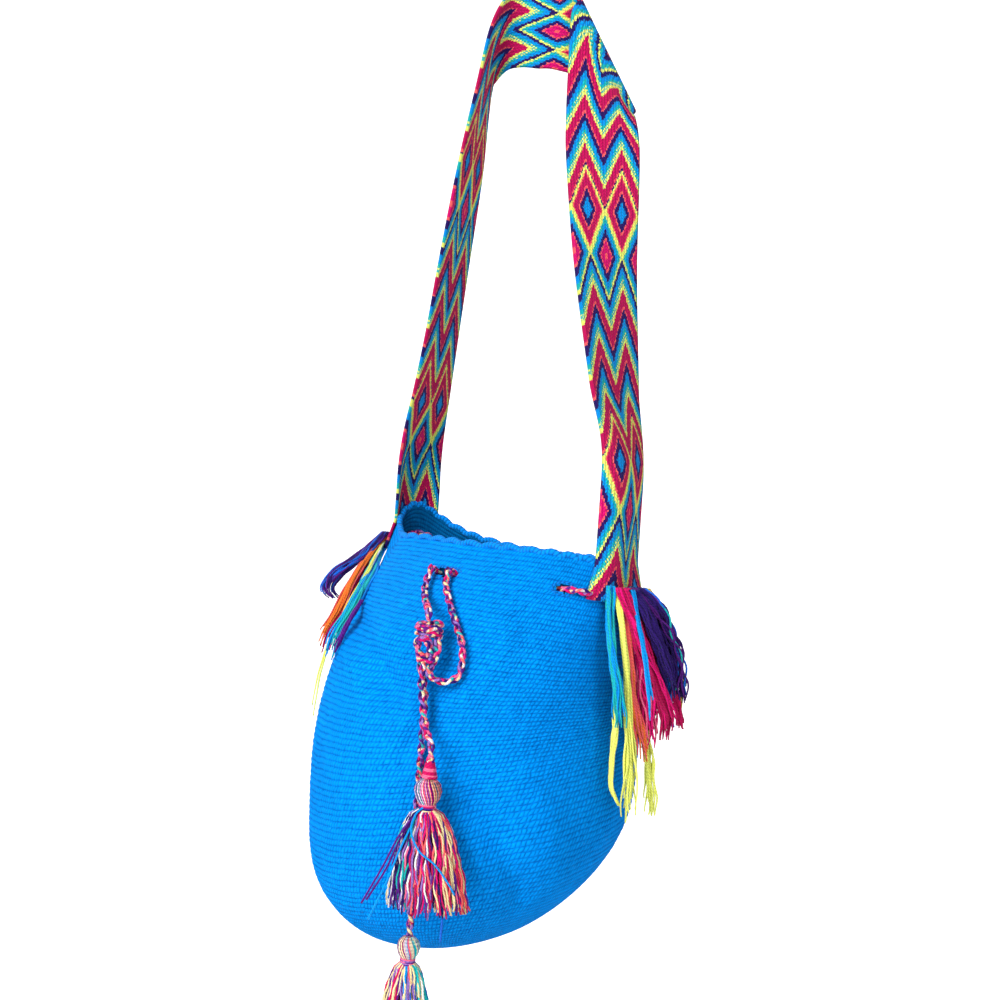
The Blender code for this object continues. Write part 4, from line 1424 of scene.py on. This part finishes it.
# The fringes, in the order in which their yarns are drawn: side, bundle, colours, number of yarns,
# radii in mm, and the route as pixel x, pixel y and depth in mm. The single wisps are the rows
# that come after a navy bundle and belong to it.
FRINGES = (
    ("right", "turquoise", (TURQUOISE, SKY, SKY, TURQUOISE), 22, (3.0, 2.8, 2.6, 2.8, 4.2, 4.8),
     ((611, 586, -107), (610, 612, -109), (611, 640, -113),
      (614, 665, -114), (618, 692, -113), (619, 731, -111))),
    ("right", "yellow", (LIME, LIME, YELLOW, LIME), 18, (2.2, 2.0, 2.6, 4.0, 6.4, 7.4),
     ((616, 588, -105), (621, 620, -108), (625, 660, -108),
      (627, 715, -106), (629, 768, -101), (626, 826, -94))),
    ("right", "magenta", (MAGENTA, MAGENTA, CRIMSON, PINK), 58, (3.2, 3.6, 4.6, 7.6, 9.0, 8.0),
     ((626, 588, -98), (631, 615, -99), (639, 650, -97), (643, 685, -93), (645, 718, -89), (646, 751, -85))),
    ("right", "orange", (ORANGE, CORAL, ORANGE), 20, (2.0, 1.8, 2.2, 2.6, 4.0, 5.0),
     ((621, 588, -100), (627, 625, -104), (630, 665, -103),
      (633, 700, -98), (641, 742, -92), (644, 766, -90))),
    ("right", "crimson", (CRIMSON, CRIMSON, MAGENTA), 46, (4.0, 4.6, 5.2, 5.6, 5.4, 4.4),
     ((621, 588, -108), (633, 618, -108), (645, 655, -102),
      (658, 690, -94), (667, 715, -87), (664, 743, -80))),
    ("right", "navy", (NAVY, PURPLE, NAVY, NAVY, BLUE, TURQUOISE, NAVY, PURPLE), 84,
     (7.0, 8.6, 9.8, 9.6, 8.0, 5.6),
     ((636, 588, -92), (650, 604, -94), (660, 628, -90), (668, 655, -84), (674, 682, -76), (676, 706, -70))),
    ("right", "navy", (NAVY,), 44, (6.5, 6.5),
     ((638, 590, -88), (650, 612, -88), (659, 640, -84), (667, 668, -78), (672, 690, -73), (672, 704, -69))),
    ("right", "navy", (CRIMSON,), 26, (5.0, 5.0),
     ((630, 590, -92), (642, 615, -92), (652, 650, -88), (660, 680, -83), (666, 710, -78), (670, 728, -74))),
    ("right", "navy", (SKY,), 7, (1.5, 1.5),
     ((633, 590, -105), (638, 620, -110), (644, 650, -112),
      (648, 680, -111), (651, 704, -108), (652, 724, -104))),
    ("right", "navy", (LIME,), 8, (1.8, 1.8),
     ((616, 700, -110), (615, 730, -108), (612, 763, -104),
      (611, 783, -101), (615, 798, -98), (621, 811, -94))),
    ("right", "navy", (NAVY,), 26, (4.6, 4.6),
     ((632, 590, -100), (646, 612, -106), (658, 640, -103),
      (666, 665, -97), (670, 682, -92), (671, 700, -86))),
    ("right", "navy", (YELLOW,), 5, (1.2, 1.2),
     ((648, 589, -80), (660, 605, -78), (670, 630, -74), (677, 654, -70), (681, 690, -66), (674, 732, -62))),
    ("right", "navy", (LIME,), 16, (4.2, 4.2),
     ((640, 700, -88), (645, 735, -86), (648, 762, -84), (649, 785, -81), (651, 805, -78), (651, 819, -76))),
    ("right", "navy", (BLUE,), 9, (2.4, 2.4),
     ((664, 670, -88), (668, 690, -86), (669, 700, -84), (668, 712, -82), (670, 722, -80), (672, 734, -78))),
    ("right", "navy", (CRIMSON,), 10, (2.2, 2.2),
     ((672, 690, -76), (676, 700, -74), (679, 712, -72), (680, 720, -70), (681, 726, -68), (682, 732, -66))),
    ("left", "navy", (NAVY, BLUE, NAVY, PURPLE), 44, (3.0, 4.6, 6.4, 7.0, 6.6, 4.4),
     ((386, 532, 84), (364, 554, 60), (347, 566, 46), (333, 578, 38), (328, 590, 33), (338, 600, 30))),
    ("left", "navy", (PURPLE,), 8, (1.8, 1.8),
     ((362, 600, -14), (352, 618, -22), (346, 630, -26), (342, 638, -28), (338, 647, -29), (334, 656, -29))),
    ("left", "navy", (LIME,), 3, (0.8, 0.8),
     ((388, 535, 88), (368, 560, 60), (350, 592, 42), (334, 630, 30), (320, 674, 21), (312, 719, 14))),
    ("left", "orange", (ORANGE, CORAL, ORANGE), 24, (1.8, 2.2, 2.6, 2.8, 3.4, 3.4),
     ((388, 535, 88), (371, 552, 62), (353, 579, 34), (337, 611, 14), (324, 631, 8), (317, 648, 8))),
    ("left", "crimson", (CRIMSON, MAGENTA), 28, (2.0, 2.2, 2.8, 3.2, 3.8, 3.4),
     ((386, 540, 88), (366, 570, 52), (352, 596, 30), (341, 615, 14), (329, 634, 8), (322, 656, 8))),
    ("left", "yellow", (LIME, WHITE, YELLOW), 10, (1.2, 1.3, 1.3, 1.3, 1.4, 1.4),
     ((385, 539, 84), (376, 555, 54), (367, 572, 26), (355, 592, 4), (347, 607, -8), (340, 626, -12))),
    ("left", "turquoise", (TURQUOISE, SKY, SKY), 34, (2.0, 3.4, 4.4, 4.4, 3.8, 3.4),
     ((383, 545, 84), (374, 566, 40), (361, 591, 2), (348, 614, -16), (335, 635, -22), (326, 663, -18))),
)


def yarns_along(strands, rng, route, radii, colours, count):
    """Yarns that follow a route together, each with its own place in the bundle and its own waves."""
    steps = len(route)
    for _ in range(count):
        turn, out = rng.uniform(0, math.tau), math.sqrt(rng.uniform(0.02, 1))
        phase = [rng.uniform(0, 6.3) for _ in range(4)]
        cut = rng.uniform(0.8, 1.0)
        colour = rng.choice(colours)
        tone = rng.uniform(0.75, 1.2)
        drift = rng.uniform(-1, 1), rng.uniform(-1, 1)
        path = []
        for i in range(max(4, int(steps * cut))):
            share = i / (steps - 1)
            r = catmull(radii, share) * MM * out
            swing = turn + 0.9 * share + 0.5 * math.sin(6 * share + phase[0])
            wave = r * math.sin(21 * share + phase[1]) + 0.6 * MM * math.sin(44 * share + phase[2])
            wave *= FRINGE_WAVE
            offset = Vector((math.cos(swing) * r + wave, math.sin(swing) * r * 0.7, wave * 0.4))
            spread = FRINGE_DRIFT * ease(share * 1.5 - 0.5)
            path.append(route[i] + offset + Vector((drift[0] * spread, drift[1] * spread * 0.4, 0)))
        shade = tuple(min(c * tone, 1.0) for c in colour)
        strands.tube(path, lambda share: FRINGE_YARN * (1 - 0.35 * ease(share * 6 - 5)), shade, 5)


def build_fringes():
    rng = random.Random(23)
    for (side, bundle), rows in itertools.groupby(FRINGES, key=lambda row: row[:2]):
        strands = Strands()
        for _, _, colours, count, radii, spots in rows:
            points = [seen(px, py, depth * MM) for px, py, depth in spots]
            route = [clear_of_wall(point, FRINGE_CLEAR) for point in smooth_route(points, FRINGE_STEP)]
            yarns_along(strands, rng, route, radii, colours, count)
        look = yarn_material(f"{side}_{bundle}_fringe_yarn")
        stand_for(strands.piece(f"{side}_{bundle}_yarns", look, "bag"), f"{side}_fringe_{bundle}")


# The stage and its light.


def seen_plainly(tree):
    """1 for what is seen straight on or through gloss or glass, and 0 for what only lights the bag."""
    path = tree.nodes.new("ShaderNodeLightPath")
    total = path.outputs["Is Camera Ray"]
    for kind in ("Is Glossy Ray", "Is Transmission Ray"):
        either = tree.nodes.new("ShaderNodeMath")
        either.operation = "MAXIMUM"
        tree.links.new(total, either.inputs[0])
        tree.links.new(path.outputs[kind], either.inputs[1])
        total = either.outputs[0]
    return total


def build_stage():
    mesh = bpy.data.meshes.new("studio_floor")
    profile = [(-3.0, -1.25), (1.2, -1.25), (1.9, -1.1), (2.2, -0.6), (2.25, 0.2), (2.25, 3.0)]
    verts = [(x, y, z) for y, z in profile for x in (-4.0, 4.0)]
    faces = [(2 * k, 2 * k + 1, 2 * k + 3, 2 * k + 2) for k in range(len(profile) - 1)]
    mesh.from_pydata(verts, [], faces)
    mesh.shade_smooth()
    floor = bpy.data.objects.new("studio_floor", mesh)
    bpy.context.scene.collection.objects.link(floor)
    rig.stage(floor)
    look = bpy.data.materials.new("studio_white")
    look.use_nodes = True
    tree = look.node_tree
    shader = tree.nodes["Principled BSDF"]
    shader.inputs["Base Color"].default_value = (0.9, 0.9, 0.9, 1)
    shader.inputs["Emission Color"].default_value = (1, 1, 1, 1)
    glow = tree.nodes.new("ShaderNodeMath")
    glow.operation = "MULTIPLY"
    glow.inputs[1].default_value = FLOOR_GLOW
    tree.links.new(seen_plainly(tree), glow.inputs[0])
    tree.links.new(glow.outputs[0], shader.inputs["Emission Strength"])
    look.cycles.emission_sampling = "NONE"
    mesh.materials.append(look)


def add_light(name, place, target, size, power):
    data = bpy.data.lights.new(name, "AREA")
    data.shape = "DISK"
    data.size = size
    data.energy = power
    light = bpy.data.objects.new(name, data)
    bpy.context.scene.collection.objects.link(light)
    light.location = place
    light.rotation_euler = (Vector(target) - Vector(place)).to_track_quat("-Z", "Y").to_euler()


def build_lights():
    add_light("key", (-1.7, -1.9, 0.8), (0, 0, -0.4), 1.8, 98)
    add_light("fill", (1.1, -2.5, 0.1), (0, 0, -0.4), 1.6, 24)
    add_light("back", (-0.6, 1.5, 0.6), (0, 0, -0.3), 1.2, 14)
    world = bpy.data.worlds.new("studio")
    world.use_nodes = True
    tree = world.node_tree
    ambient = tree.nodes["Background"]
    ambient.inputs[0].default_value = (0.9, 0.95, 1.0, 1)
    ambient.inputs[1].default_value = 0.3
    white = tree.nodes.new("ShaderNodeBackground")
    white.inputs[0].default_value = (1, 1, 1, 1)
    either = tree.nodes.new("ShaderNodeMixShader")
    tree.links.new(seen_plainly(tree), either.inputs[0])
    tree.links.new(ambient.outputs[0], either.inputs[1])
    tree.links.new(white.outputs[0], either.inputs[2])
    tree.links.new(either.outputs[0], tree.nodes["World Output"].inputs[0])
    bpy.context.scene.world = world


make_camera()
knot, cords, upper_end, lower_end = build_drawstring()
upper_pieces, lower_pieces = build_tassels(upper_end, lower_end)
plans = (("knot", [knot]), ("knot", []), ("fitting", upper_pieces), ("fitting", lower_pieces))
for (cord, route), (far, pieces) in zip(cords, plans):
    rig.cord(
        cord,
        exit=route[0],
        length=length_of(route),
        diameter=2 * CORD_RADIUS,
        far_end=far,
        stiffness="limp",
        lay="hanging",
        path=route,
        with_pieces=pieces,
    )
build_body()
strap, strap_length = build_strap()
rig.sheet(strap, flat=(STRAP_WIDTH, strap_length), held="hung")
build_fringes()
build_stage()
build_lights()
bpy.context.scene.view_settings.view_transform = "Standard"

with open("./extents.json", "w") as report:
    json.dump({"cad": [list(c) for c in CAD_BOX], "visual": [list(c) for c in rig.bounds()]}, report)
